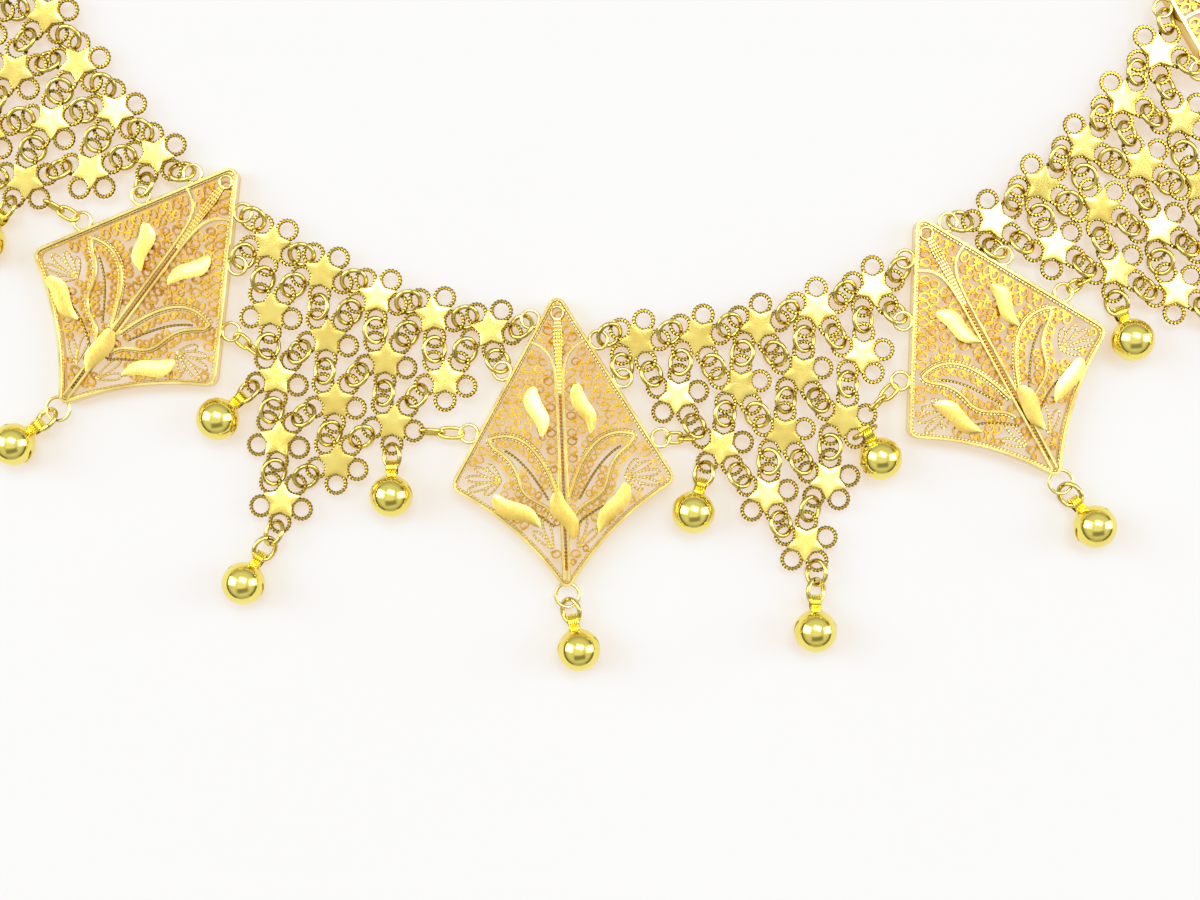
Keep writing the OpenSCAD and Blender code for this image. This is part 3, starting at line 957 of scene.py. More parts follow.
@dataclass(frozen=True)
class Kite(Part):
    """Openwork kite of flat wire, twisted wire, scrolls and sheet leaves.

    Lines are drawn for its right half, u to the right and v from its top. Sizes that end
    with z are heights above the table.
    """

    slot: ClassVar[Slot] = Slot.FILIGREE

    number: int
    width: float = 13.8
    corner: float = 22.6
    corner_in: float = 1.43
    corner_r: float = 1.3
    corner_end: float = 149
    tip_r: float = 0.9
    tip_start: float = 125
    top_r: float = 1.05
    side_hollow: float = 1.0
    frame_w: float = 0.38
    frame_h: float = 2.55
    frame_step: float = 0.4
    seam_z: float = 2.15
    wire_w: float = 0.38
    wire_h: float = 1.1
    wire_z: float = 1.9
    wire_step: float = 0.03
    rope_r: float = 0.14
    rope_z: float = 2.05
    rope_offset: float = 0.32
    low_rope_z: float = 1.8
    fan_r: float = 0.15
    fan_z: float = 1.9
    stem_gap: float = 0.42
    stem_foot: float = 0.32
    scroll_top: float = 0.18
    scroll_foot: float = 0.21
    scroll_h: float = 0.8
    scroll_z: float = 1.42
    scroll_sway: float = 0.03
    scroll_rise: float = 0.06
    scroll_gap: float = 0.06
    scroll_room: float = 0.08
    wall_step: float = 0.25
    # Radii of the scrolls that fill open places, how many of each are tried, and where
    fill_radii: tuple[float, ...] = (0.62, 0.54, 0.46, 0.38)
    fill_tries: int = 900
    fill_u: tuple[float, float] = (-13, 13)
    fill_v: tuple[float, float] = (2, 35)
    # Painted shade of the scrolls: how far from the stem it reaches, its most, its uneven part and its
    # limit
    shade_reach: float = 6.0
    shade_most: float = 0.55
    shade_spread: float = 0.25
    shade_limit: float = 0.9
    leaf_t: float = 0.16
    leaf_z: float = 2.7
    leaf_tilt: float = 6.0
    leaf_sway: float = 0.38
    leaf_dome: float = 0.1
    leaf_bow: float = 0.03
    top_ring: tuple[float, float, float, float] = (1.85, 1.95, 0.78, 0.19)
    eyelet_wire: float = 0.22
    tip_ring_r: float = 1.47
    tip_ring_wire: float = 0.21
    beads: Pairs = ((0.0, 11.0), (0.0, 33.8))
    # Wires in the crown: where each stands, and the share of that and v at points down its line
    crown: tuple[float, ...] = (-1.5, -0.5, 0.5, 1.5)
    crown_taper: Pairs = ((0.2, 2.5), (0.34, 4.6), (0.26, 7.0), (0.1, 12.0))
    arm: Pairs = ((3.5, 5.3), (2.2, 5.8), (0.8, 6.4), (0.55, 9.4))
    leaf_line: Pairs = ((0.7, 24.8), (2.0, 20.4), (4.2, 15.6), (9.0, 17.2))
    wave_upper: Pairs = ((9.0, 17.2), (9.2, 18.8), (6.2, 18.6), (5.5, 22.4))
    wave_lower: Pairs = ((5.5, 22.4), (5.2, 25.6), (1.9, 24.8), (1.2, 27.2))
    fan_lines: tuple[Pairs, ...] = (
        ((1.9, 25.0), (3.7, 21.8), (5.2, 19.7), (7.3, 18.6)),
        ((1.3, 28.3), (3.4, 26.6), (5.6, 25.2), (7.4, 25.6)),
    )
    # Long loops, each as u and v of its foot, direction, length and width
    petal_fan: tuple[tuple[float, ...], ...] = (
        (7.7, 22.4, -52, 2.6, 0.5),
        (7.7, 22.4, -28, 3.6, 0.52),
        (7.7, 22.4, -6, 4.3, 0.55),
        (7.7, 22.4, 15, 4.3, 0.52),
        (7.7, 22.4, 38, 2.6, 0.5),
        (1.5, 31.0, -74, 3.9, 0.6),
        (1.7, 31.0, -44, 3.0, 0.55),
    )

    def outline(self, inset: float) -> np.ndarray:
        """Closed outline, set in from the outer face.

        Args:
            inset: Distance from the outer face.

        Returns:
            The points, from the top and round the right side first.
        """
        slope = 90 - PLAN.half_angle
        top = arc((0, self.top_r), self.top_r - inset, (0, slope), 6)
        middle = (self.width - self.corner_in, self.corner)
        side = arc(middle, self.corner_r - inset, (slope, self.corner_end), 8)
        tip = arc((0, PLAN.kite_l - self.tip_r), self.tip_r - inset, (self.tip_start, 180), 5)
        t = np.linspace(0, 1, 14)[1:-1, None]
        chord = tip[0] - side[-1]
        across = unit(np.array([-chord[1], chord[0]]))
        hollow = side[-1] + t * chord + 4 * t * (1 - t) * self.side_hollow * across
        half = np.vstack([top, side, hollow, tip])
        return np.vstack([half, mirrored(half[1:-1])[::-1]])

    def place(self, line: np.ndarray, z: float) -> np.ndarray:
        """Points of the kite at one height, placed on the necklace."""
        return PLAN.kite_points(self.number, line, z)

    def half_lines(self) -> dict[str, np.ndarray]:
        """Lines of the right half's flat wires.

        Returns:
            The arm with its stem, and the broad leaf's outline and wavy return.
        """
        stem = [[self.stem_gap, 12.0], [self.stem_gap, 24.0], [self.stem_foot, PLAN.kite_l - 0.8]]
        arm = smoothed(resample(np.vstack([bezier(self.arm, 12), stem]), 0.4), 3)
        wave = np.vstack([bezier(self.wave_upper, 14), bezier(self.wave_lower, 14)[1:]])
        return {"arm": arm, "leaf": bezier(self.leaf_line, 26), "wave": smoothed(wave, 2)}

    def fans(self) -> list[np.ndarray]:
        """Curved twisted wires in the right half's broad leaf and towards its side corner."""
        return [bezier(handles, 14) for handles in self.fan_lines]

    def petals(self) -> list[np.ndarray]:
        """Long loops that spread towards the side corner and beside the tip.

        Returns:
            The lines of the right half.
        """
        t = np.linspace(0, 2 * math.pi, 25)
        loops = []
        for u, v, angle, length, width in self.petal_fan:
            wide = width * np.sin(t) * np.sin(t / 2) ** 1.2
            drop = np.stack([length / 2 * (1 - np.cos(t)), wide], axis=-1)
            loops.append(drop @ turned(angle) + np.array([u, v]))
        return loops

    def scroll_rows(self) -> list[Scroll]:
        """Scrolls in rows along the frame, the stem and the broad leaves.

        Returns:
            The scrolls wanted, before those without room are left out.
        """
        arm, leaf, wave = self.half_lines().values()
        inner = self.outline(self.frame_w + 0.3)
        # The right half of the outline, from below its top
        rim = resample(inner[3 : len(inner) // 2 + 1], 0.2)
        # The line beside which a row runs, how far off, and its scrolls' radius and stretch
        guides = [
            (arm[arm[:, 1] > 9.0], -0.92, 0.5, 1.3),
            (rim, 0.74, 0.5, 1.45),
            (leaf, 0.95, 0.44, 1.0),
            (wave, -0.72, 0.5, 1.1),
            (leaf, -0.84, 0.42, 1.2),
            (wave, 0.72, 0.42, 1.2),
            (self.fans()[1], -0.6, 0.42, 1.1),
            (rim, 2.02, 0.46, 1.25),
            (arm[arm[:, 1] > 11.0], -2.1, 0.48, 1.2),
        ]
        found: list[Scroll] = []
        for line, offset, radius, stretch in guides:
            for mirror in (1.0, -1.0):
                row = resample(beside(line, offset), 2 * radius + self.scroll_gap)
                row = row * np.array([mirror, 1.0])
                for k, (point, ahead) in enumerate(zip(row, np.gradient(row, axis=0))):
                    turn = math.degrees(math.atan2(ahead[1], ahead[0])) + 90 * mirror
                    found.append(Scroll(point, radius, stretch, turn, 1 if k % 2 else -1))
        return found

    def scrolls(self) -> list[Scroll]:
        """All scrolls: the rows, then others that fill what stays open.

        Returns:
            The scrolls, none over another or over a wire.
        """
        chance = np.random.default_rng(self.number + 11)
        walls = [resample(self.outline(self.frame_w + 0.2), self.wall_step, True)]
        for line in [*self.half_lines().values(), *self.fans(), *self.petals()]:
            even = resample(line, self.wall_step)
            walls += [even, mirrored(even)]
        wall = np.vstack(walls)
        edge = self.outline(self.frame_w)
        tries = self.fill_tries
        darts = [
            Scroll(np.array([u, v]), r, 1.0, chance.uniform(0, 360), 1 if chance.random() < 0.5 else -1)
            for r in self.fill_radii
            for u, v in zip(chance.uniform(*self.fill_u, tries), chance.uniform(*self.fill_v, tries))
        ]
        kept: list[Scroll] = []
        # Starts with one circle far away, so that there is always one to measure from
        taken = np.full((1, 3), -50.0)
        for scroll in self.scroll_rows() + darts:
            spots = scroll.spots()
            if not inside(spots[:, :2], edge).all():
                continue
            to_wall = np.linalg.norm(wall[None] - spots[:, None, :2], axis=-1).min()
            gaps = np.linalg.norm(taken[None, :, :2] - spots[:, None, :2], axis=-1) - taken[None, :, 2]
            if to_wall < scroll.radius + self.scroll_room or gaps.min() < scroll.radius - self.scroll_room:
                continue
            kept.append(scroll)
            taken = np.vstack([taken, spots])
        return kept

    def shade(self, scroll: Scroll, number: int) -> float:
        """How much painted shade a scroll gets, from 0 to 1: most beside the stem, least at the frame,
        with a small uneven part.
        """
        near = max(0.0, 1 - abs(float(scroll.centre[0])) / self.shade_reach)
        deep = self.shade_most * near + self.shade_spread * wobble(number)
        return float(np.clip(deep, 0.0, self.shade_limit))

    def add_ropes(
        self, pile: MeshPile, lines: list[np.ndarray], z: float, radius: float, finish: GoldFinish
    ) -> None:
        """Adds twisted wires along lines of the right half and their mirror images.

        Args:
            pile: Pile to add them to.
            lines: Lines of the right half.
            z: Height of their middles.
            radius: Their radius.
            finish: Their finish.
        """
        for line in lines:
            for half in (line, mirrored(line)):
                pile.rope(self.place(half, z), radius, finish)

    def add_wires(self, pile: MeshPile) -> None:
        """Adds the frame, the flat wires and the twisted wires."""
        rim = resample(self.outline(self.frame_w / 2), self.frame_step, True)
        edge = strip_section(self.frame_w, self.frame_h)
        pile.sweep(self.place(rim, self.frame_h / 2), edge, FLAT_WIRE, closed=True)
        seam = resample(self.outline(self.frame_w + self.rope_r * 0.8), self.frame_step, True)
        pile.rope(self.place(seam, self.seam_z), self.rope_r, FLAT_WIRE, closed=True)
        thin = strip_section(self.wire_w, self.wire_h)
        # Sides of each flat wire that a twisted wire runs along
        offsets = {"arm": (), "leaf": (1, -1), "wave": (-1,)}
        for k, (name, line) in enumerate(self.half_lines().items()):
            for half in (line, mirrored(line)):
                pile.sweep(self.place(half, self.wire_z - self.wire_step * k), thin, FLAT_WIRE)
            ropes = [beside(line, sign * self.rope_offset) for sign in offsets[name]]
            self.add_ropes(pile, ropes, self.rope_z, self.rope_r, FLAT_WIRE)
        pile.rope(self.place(np.array(self.beads), self.low_rope_z), self.rope_r, SCROLL_WIRE)
        for at in self.crown:
            taper = np.array([[share * at, v] for share, v in self.crown_taper])
            even = smoothed(resample(taper, 0.5), 2)
            pile.rope(self.place(even, self.rope_z), self.fan_r, FLAT_WIRE)
        self.add_ropes(pile, self.petals(), self.low_rope_z, self.rope_r, FLAT_WIRE)
        self.add_ropes(pile, self.fans(), self.fan_z, self.fan_r, TWISTED_WIRE)

    def add_scrolls(self, pile: MeshPile) -> None:
        """Adds the scrolls, each with its painted shade, on slightly different levels so that no two tops
        share a plane.
        """
        low, high, half_h = self.scroll_foot / 2, self.scroll_top / 2, self.scroll_h / 2
        splayed = np.array([[low, -half_h], [high, half_h], [-high, half_h], [-low, -half_h]])
        for k, scroll in enumerate(self.scrolls()):
            line = self.place(scroll.line(), self.scroll_z + self.scroll_sway * wobble(k))
            line[:, 2] += np.linspace(0, self.scroll_rise, len(line))
            # Painted shade, the same along the whole scroll
            deep = np.full((len(line), len(splayed)), self.shade(scroll, k))
            pile.sweep(line, splayed, SCROLL_WIRE, hollow=deep)

    def add_leaf(self, pile: MeshPile, leaf: Leaf) -> None:
        """Adds one sheet leaf, bent like an S and slightly domed.

        Args:
            pile: Pile to add it to.
            leaf: The leaf.
        """
        n, m = 16, 7
        t = np.linspace(0, 1, n + 1)
        sway = leaf.bend * self.leaf_sway * np.sin(2 * math.pi * t)
        middle = np.stack([(t - 0.5) * leaf.length, sway], axis=-1)
        half = leaf.width / 2 * np.sin(math.pi * (0.06 + 0.92 * t**0.85)) ** 0.62
        foot = np.array([leaf.u, leaf.v])
        spot = self.place(foot[None], 0.0)
        lamp = np.array([math.cos(math.radians(HIGH_LAMP)), math.sin(math.radians(HIGH_LAMP)), 0.0])
        slope = math.tan(math.radians(self.leaf_tilt * leaf.glint))
        across = np.linspace(-1, 1, m)
        rows = []
        for k in range(n + 1):
            flat = middle[k] + np.stack([np.zeros(m), across * half[k]], axis=-1)
            dome = self.leaf_z - self.leaf_dome * across**2 + self.leaf_bow * math.sin(math.pi * t[k])
            top = self.place(flat @ turned(leaf.turn) + foot, 0.0)
            top[:, 2] = dome - slope * ((top - spot) @ lamp)
            rows.append(np.vstack([top, top[::-1] - self.leaf_t * UP]))
        faces = grid_faces(n + 1, 2 * m)[:, ::-1].tolist()
        faces += [face[::-1] for face in end_faces(n + 1, 2 * m)]
        pile.add(np.vstack(rows), faces, BRUSHED_SHEET)

    def add_ring(self, pile: MeshPile, centre: np.ndarray, radius: float, wire: float) -> None:
        """Adds a level ring of round wire."""
        pile.sweep(centre + radius * circle(32), round_section(wire), FLAT_WIRE, closed=True)

    def fill(self, pile: MeshPile) -> None:
        """Adds the kite's points and faces to a pile."""
        self.add_wires(pile)
        self.add_scrolls(pile)
        for leaf in LEAF_SETS[LEAF_SET_OF[self.number]]:
            self.add_leaf(pile, leaf)
        v, z, radius, wire = self.top_ring
        self.add_ring(pile, self.place(np.array([[0.0, v]]), z)[0], radius, wire)
        for side in Side:
            for hold in range(len(PLAN.kites[self.number].holds[side])):
                centre = PLAN.eyelet(self.number, side, Hold(hold))
                self.add_ring(pile, centre, PLAN.eyelet_r, self.eyelet_wire)
        self.add_ring(pile, PLAN.tip_eyelet(self.number), self.tip_ring_r, self.tip_ring_wire)


# Stars and rings


@dataclass(frozen=True)
class StarPanel(Part):
    """Fifteen frosted stars, each soldered on five loops of twisted wire."""

    slot: ClassVar[Slot] = Slot.BRUSHED

    number: int
    thickness: float = 0.45
    lift: float = 0.17
    loop_pitch: float = 0.142
    plate_tilt: float = 6.0

    def add_plate(self, pile: MeshPile, row: int, i: int) -> None:
        """Adds one star's plate, with eased edges and a slight dome.

        Args:
            pile: Pile to add it to.
            row: Row of the star.
            i: Star in the row.
        """
        rim = resample(PLAN.star_corners(), 0.32, True, 10)
        top, m = self.lift + self.thickness, len(rim)
        # Rings of points from the underside up, each as its share of the rim and its height
        levels = [(1.0, self.lift), (1.0, top - 0.07), (0.975, top - 0.01), (0.94, top), (0.5, top + 0.01)]
        rings = [np.hstack([rim * size, np.full((m, 1), z)]) for size, z in levels]
        axes = PLAN.star_axes(self.number, row, i, self.plate_tilt)
        points = np.vstack([*rings, [[0, 0, top + 0.012]]]) @ axes.T + PLAN.star_at(self.number, row, i)
        faces = grid_faces(len(levels), m).tolist() + tip_faces(len(levels), m)
        pile.add(points, faces + end_faces(len(levels), m)[:1], FROSTED_SHEET)

    def fill(self, pile: MeshPile) -> None:
        """Adds the stars' points and faces to a pile."""
        for row, i in PLAN.stars():
            self.add_plate(pile, row, i)
            axes = PLAN.star_axes(self.number, row, i)
            for loop in range(5):
                path = PLAN.loop_r * circle(48) @ axes.T + PLAN.star_loop(self.number, row, i, loop)
                pile.rope(path, PLAN.loop_wire, TWISTED_WIRE, axes[:, 2], True, self.loop_pitch)


@dataclass
class WireRegister:
    """Wires already in place, as points along their middles, to keep new rings clear of them."""

    points: np.ndarray = field(default_factory=lambda: np.zeros((0, 4)))
    reach: float = 4.0

    def add(self, path: np.ndarray, radius: float) -> None:
        """Notes a wire of one radius."""
        self.points = np.vstack([self.points, np.hstack([path, np.full((len(path), 1), radius)])])

    def room(self, path: np.ndarray, radius: float) -> float:
        """Least gap between a wire and those already noted.

        Args:
            path: Points of its middle.
            radius: Its radius.

        Returns:
            The gap, below zero where they would meet.
        """
        middle = path.mean(axis=0)
        near = self.points[np.abs(self.points[:, :2] - middle[:2]).max(axis=1) < self.reach]
        if not len(near):
            return self.reach
        gaps = np.linalg.norm(near[:, None, :3] - path[None], axis=-1) - near[:, 3:] - radius
        return float(gaps.min())


@dataclass(frozen=True)
class JumpRing:
    """Open ring of round wire through two loops.

    Attributes:
        p: Middle of one loop.
        q: Middle of the other.
        tilt: Lean of the ring about the line between them, in degrees.
        turn: Angle of its join from that line, in degrees.
        wire: Radius of its wire.
        seam: Half of the angle that its join leaves open.
    """

    p: np.ndarray
    q: np.ndarray
    tilt: float
    turn: float = 90.0
    wire: float = 0.285
    seam: float = 1.4

    def path(self) -> np.ndarray:
        """Points of its wire's middle."""
        x, y, _ = line_axes(self.q - self.p, self.tilt)
        a = np.radians(self.turn + np.linspace(self.seam, 360 - self.seam, 37))
        return (self.p + self.q) / 2 + PLAN.ring_r * (np.outer(np.cos(a), x) + np.outer(np.sin(a), y))

    def add(self, pile: MeshPile) -> None:
        """Adds the ring to a pile."""
        axis = line_axes(self.q - self.p, self.tilt)[2]
        pile.sweep(self.path(), round_section(self.wire), POLISHED_WIRE, axis)


@dataclass(frozen=True)
class RingPanel(Part):
    """Open jump rings of round wire that join the stars, the kites and the bells."""

    slot: ClassVar[Slot] = Slot.WIRE

    number: int
    leans: tuple[int, ...] = (30, 34, 38, 42, 45, 47, 50, 53)
    clear: float = 0.02
    rope_bulge: float = 1.15
    plate_z: float = 0.34
    plate_r: float = 0.24
    eyelet_wire: float = 0.19
    join_turn: float = 90
    join_spread: float = 70

    def wires(self) -> WireRegister:
        """Star loops, star plates and kite eyelets that the rings must clear.

        Returns:
            The register of these wires.
        """
        register = WireRegister()
        corners = np.hstack([PLAN.star_corners(), np.full((10, 1), self.plate_z)])
        for row, i in PLAN.stars():
            axes = PLAN.star_axes(self.number, row, i)
            for loop in range(5):
                path = PLAN.loop_r * circle(30) @ axes.T + PLAN.star_loop(self.number, row, i, loop)
                register.add(path, PLAN.loop_wire * self.rope_bulge)
            # Points on the plate's edge, and on a smaller star inside it
            for size in (1.0, 0.72):
                edge = resample(corners * np.array([size, size, 1.0]), 0.3, True)
                register.add(edge @ axes.T + PLAN.star_at(self.number, row, i), self.plate_r)
        for kite, side in ((self.number, Side.RIGHT), (self.number + 1, Side.LEFT)):
            for hold in range(len(PLAN.kites[kite].holds[side])):
                path = PLAN.eyelet_r * circle(30) + PLAN.eyelet(kite, side, Hold(hold))
                register.add(path, self.eyelet_wire)
        return register

    def pairs(self) -> Iterator[tuple[np.ndarray, np.ndarray, float, bool]]:
        """Pairs of loops that a ring joins.

        Yields:
            Both middles, the lean wanted, and whether the ring may be left out where it has no room.
        """
        n = self.number

        def loop(row: int, i: int, k: int) -> np.ndarray:
            """Middle of a star's loop in this panel."""
            return PLAN.star_loop(n, row, i, k)

        yield loop(0, 0, 2), PLAN.eyelet(n, Side.RIGHT, Hold.HIGH), 45, False
        yield loop(0, 0, 3), PLAN.eyelet(n, Side.RIGHT, Hold.LOW), -45, False
        yield loop(0, 4, 0), PLAN.eyelet(n + 1, Side.LEFT, Hold.HIGH), 45, False
        yield loop(0, 4, 4), PLAN.eyelet(n + 1, Side.LEFT, Hold.LOW), -45, False
        for i in range(4):
            yield loop(0, i, 0), loop(0, i + 1, 2), -30, False
        for row in range(1, 5):
            for i in range(5 - row):
                yield loop(row, i, 2), loop(row - 1, i, 4), 30 if (row + i) % 3 else -30, False
                yield loop(row, i, 1), loop(row - 1, i + 1, 3), 30 if (row + 2 * i) % 3 else -30, False
        for row in range(1, 4):
            for i in range(4 - row):
                yield loop(row, i, 0), loop(row, i + 1, 2), 30, True
        for row in range(4):
            for i in range(4 - row):
                yield loop(row, i, 0), loop(row, i + 1, 3), -34, True

    def fill(self, pile: MeshPile) -> None:
        """Adds the rings' points and faces to a pile, each leaning the least that keeps it clear."""
        register = self.wires()
        for place in BellPlace:
            for ends in PLAN.hung(self.number, place)[0]:
                ring = JumpRing(*ends)
                register.add(ring.path(), ring.wire)
                ring.add(pile)
        for number, (p, q, wanted, spare) in enumerate(self.pairs()):
            sign = 1 if wanted > 0 else -1
            turn = self.join_turn + self.join_spread * wobble(number + self.number)
            best = (-9.0, 0.0)
            for tilt in (sign * lean * way for lean in self.leans for way in (1, -1)):
                ring = JumpRing(p, q, tilt, turn)
                best = max(best, (register.room(ring.path(), ring.wire), tilt), key=lambda found: found[0])
                if best[0] > self.clear:
                    break
            if spare and best[0] < 0.0:
                continue
            ring = JumpRing(p, q, best[1], turn)
            register.add(ring.path(), ring.wire)
            ring.add(pile)


@dataclass(frozen=True)
class DropRing(Part):
    """Open ring between a kite's tip and its bell."""

    slot: ClassVar[Slot] = Slot.WIRE

    number: int
    at: float = 2.0

    def fill(self, pile: MeshPile) -> None:
        """Adds the ring's points and faces to a pile."""
        ahead = heading(PLAN.kites[self.number].bell)
        middle = PLAN.tip_eyelet(self.number) + self.at * ahead
        JumpRing(middle - ahead, middle + ahead, 45).add(pile)


# Bells


@dataclass(frozen=True)
class Bell(Part):
    """Round jingle bell with a slit, a collar and a ribbed strap loop.

    Attributes:
        hook: Middle of its loop.
        direction: Heading of its ball from there.
    """

    slot: ClassVar[Slot] = Slot.POLISHED

    hook: np.ndarray
    direction: float
    slit: float = 0.24
    slit_pitch: float = 50.0
    slit_end: float = 52.0
    slit_taper: float = 7.0
    wall: float = 0.3
    pole_gap: float = 0.02
    strap_r: float = 0.9
    strap_w: float = 1.35
    strap_t: float = 0.24
    strap_open: float = 0.5
    strap_out: float = 0.02
    ribs: int = 5
    rib_h: float = 0.06
    collar: Pairs = ((0.0, 2.4), (0.86, 2.45), (0.9, 2.58), (0.8, 2.7), (0.62, 2.77), (0.0, 2.8))

    def axes(self) -> tuple[np.ndarray, np.ndarray]:
        """Middle of the ball, and its axes towards the hook, level and up.

        Returns:
            The middle, and a matrix with the axes as rows.
        """
        middle = PLAN.bell_middle(self.hook, self.direction)
        return middle, np.array(line_axes(self.hook - middle, 0))

    def add_ball(self, pile: MeshPile) -> None:
        """Adds the ball as two halves that part along the slit."""
        middle, axes = self.axes()
        p = math.radians(self.slit_pitch)
        ahead = np.array([math.cos(p), 0.0, math.sin(p)])
        level = np.array([0.0, 1.0, 0.0])
        pole = np.cross(ahead, level)
        columns, rows = 56, 14
        turn = 2 * math.pi * np.arange(columns) / columns
        away = np.abs(np.degrees((turn + math.pi) % (2 * math.pi) - math.pi))
        share = np.clip((away - self.slit_end) / self.slit_taper, 0, 1) ** 0.5
        opening = share * self.slit / PLAN.bell_r
        ring = np.outer(np.cos(turn), ahead) + np.outer(np.sin(turn), level)
        steps = [(math.pi / 2 - self.pole_gap - opening) * k / (rows - 1) for k in range(rows)]
        shells = [(PLAN.bell_r - self.wall, opening)] + [(PLAN.bell_r, opening + step) for step in steps]
        for sign in (1, -1):
            layers = [
                r * (np.cos(lat)[:, None] * ring + sign * np.sin(lat)[:, None] * pole) for r, lat in shells
            ]
            points = np.vstack([*layers, [sign * PLAN.bell_r * pole]])
            faces = grid_faces(len(layers), columns).tolist() + tip_faces(len(layers), columns)
            pile.add(points @ axes + middle, [f[::sign] for f in faces], BURNISHED_SHELL)

    def add_strap(self, pile: MeshPile) -> None:
        """Adds the collar on the ball and the ribbed strap bent round the ring."""
        middle, axes = self.axes()
        collar_faces = grid_faces(len(self.collar), 32).tolist()
        pile.add(lathe(self.collar, 32) @ axes + middle, collar_faces, BURNISHED_SHELL)
        a = np.linspace(math.pi + self.strap_open, 3 * math.pi - self.strap_open, 27)
        loop = self.strap_r * np.stack([np.cos(a), 0 * a, np.sin(a)], axis=-1)
        loop[:, 0] += PLAN.bell_loop_at + self.strap_out
        across = np.linspace(-self.strap_w / 2, self.strap_w / 2, 4 * self.ribs + 1)
        ribbed = self.rib_h * np.cos(np.linspace(0, 2 * math.pi * self.ribs, len(across)))
        outer = np.stack([self.strap_t / 2 - ribbed, across], axis=-1)
        inner = np.array([[-self.strap_t / 2, self.strap_w / 2], [-self.strap_t / 2, -self.strap_w / 2]])
        pile.sweep(loop @ axes + middle, np.vstack([outer, inner]), BURNISHED_SHELL, axes[1])

    def fill(self, pile: MeshPile) -> None:
        """Adds the bell's points and faces to a pile."""
        self.add_ball(pile)
        self.add_strap(pile)


def bells() -> Iterator[Bell]:
    """Bells of the kites' tips and then of the star panels.

    Yields:
        Each bell, at the end of its rings.
    """
    for kite, place in enumerate(PLAN.kites):
        hook = PLAN.tip_eyelet(kite) + PLAN.drop_hook * heading(place.bell)
        yield Bell(f"Kite_bell_{kite + 1}_ball", f"kite_bell_{kite + 1}", hook, place.bell)
    for panel, spot in enumerate(PLAN.panels):
        for place in BellPlace:
            name = f"{panel + 1}_{place.name.lower()}"
            hook = PLAN.hung(panel, place)[1]
            yield Bell(f"Bell_{name}_ball", f"bell_{name}", hook, spot.bells[place])


# Chains and clasp


@dataclass(frozen=True)
class OvalChain(Part):
    """Chain of oval links along a line, each turned a quarter from its neighbours.

    Attributes:
        line: Points between the middles of the wire at the chain's two ends.
        links: Number of links.
        wire: Radius of their wire.
        width: Width of a link between the middles of its wire.
        roll: Lean of the first link in degrees.
        play: Gap left between neighbouring links.
        fullness: 1 makes a link an ellipse, and less makes it fuller.
    """

    slot: ClassVar[Slot] = Slot.WIRE

    line: np.ndarray
    links: int
    wire: float
    width: float
    roll: float = 45.0
    play: float = 0.05
    fullness: float = 0.8

    def fill(self, pile: MeshPile) -> None:
        """Adds the links' points and faces to a pile."""
        even = resample(self.line, 0.25)
        run = run_of(even)
        overlap = 2 * self.wire + self.play
        length = (run[-1] + (self.links - 1) * overlap) / self.links
        oval = circle(28)[:, :2]
        shape = np.sign(oval) * np.abs(oval) ** self.fullness * np.array([length, self.width]) / 2
        for k in range(self.links):
            start = k * (length - overlap)
            ends = np.array([[np.interp(s, run, c) for c in even.T] for s in (start, start + length)])
            x, y, z = line_axes(ends[1] - ends[0], self.roll if k % 2 == 0 else self.roll - 90)
            path = (ends[0] + ends[1]) / 2 + np.outer(shape[:, 0], x) + np.outer(shape[:, 1], y)
            pile.sweep(path, round_section(self.wire), CHAIN_WIRE, z, True)


def side_chains() -> Iterator[OvalChain]:
    """Short chains from the kites' sides to the stars of the third row.

    Yields:
        Each chain.
    """
    # From the middles of the kite's eyelet and of the star's loop to the chain's ends
    kite_gap, star_gap = 0.72, 0.82
    for number in range(1, 9):
        panel = (number - 1) // 2
        if number % 2:
            start, end = PLAN.eyelet(panel, Side.RIGHT, Hold.CHAIN), PLAN.star_loop(panel, 2, 0, 2)
        else:
            start, end = PLAN.eyelet(panel + 1, Side.LEFT, Hold.CHAIN), PLAN.star_loop(panel, 2, 2, 0)
        way = unit(end - start)
        line = np.array([start + kite_gap * way, end - star_gap * way])
        name, node = f"Side_chain_{number}_links", f"side_chain_{number}"
        yield OvalChain(name, node, line, links=2, wire=0.24, width=1.34, roll=20.0)


@dataclass(frozen=True)
class Clasp(Part):
    """Closed barrel clasp with turned bands and a ring at each end."""

    slot: ClassVar[Slot] = Slot.POLISHED

    name: str = "Barrel_clasp"
    node: str = "clasp"
    y: float = 80.0
    z: float = 1.8
    length: float = 9.0
    reach: float = 6.8
    loop_r: float = 1.3
    wire: float = 0.25
    # Radius and distance from the end for the turned bands, then from the middle for the barrel
    bands: Pairs = (
        (0.0, 0), (0.55, 0), (0.62, 0.15), (1.1, 0.22), (1.5, 0.5),
        (1.62, 0.9), (1.78, 1.0), (1.78, 1.35), (1.62, 1.45),
    )
    barrel: Pairs = ((1.66, 1.0), (1.8, 0.9), (1.8, 0.12), (1.68, 0.04))

    def fill(self, pile: MeshPile) -> None:
        """Adds the clasp's points and faces to a pile."""
        side = [(r, self.length / 2 - x) for r, x in self.bands] + list(self.barrel)
        profile = side + [(r, -x) for r, x in side[::-1]]
        centre = np.array([0.0, self.y, self.z])
        faces = grid_faces(len(profile), 40)[:, ::-1].tolist()
        pile.add(lathe(profile, 40) + centre, faces, BURNISHED_SHELL)
        ring = circle(40) * (self.loop_r - self.wire)
        for sign in (1, -1):
            middle = centre + np.array([sign * (self.reach - self.loop_r), 0.0, 0.0])
            pile.sweep(ring + middle, round_section(self.wire), BURNISHED_SHELL, closed=True)


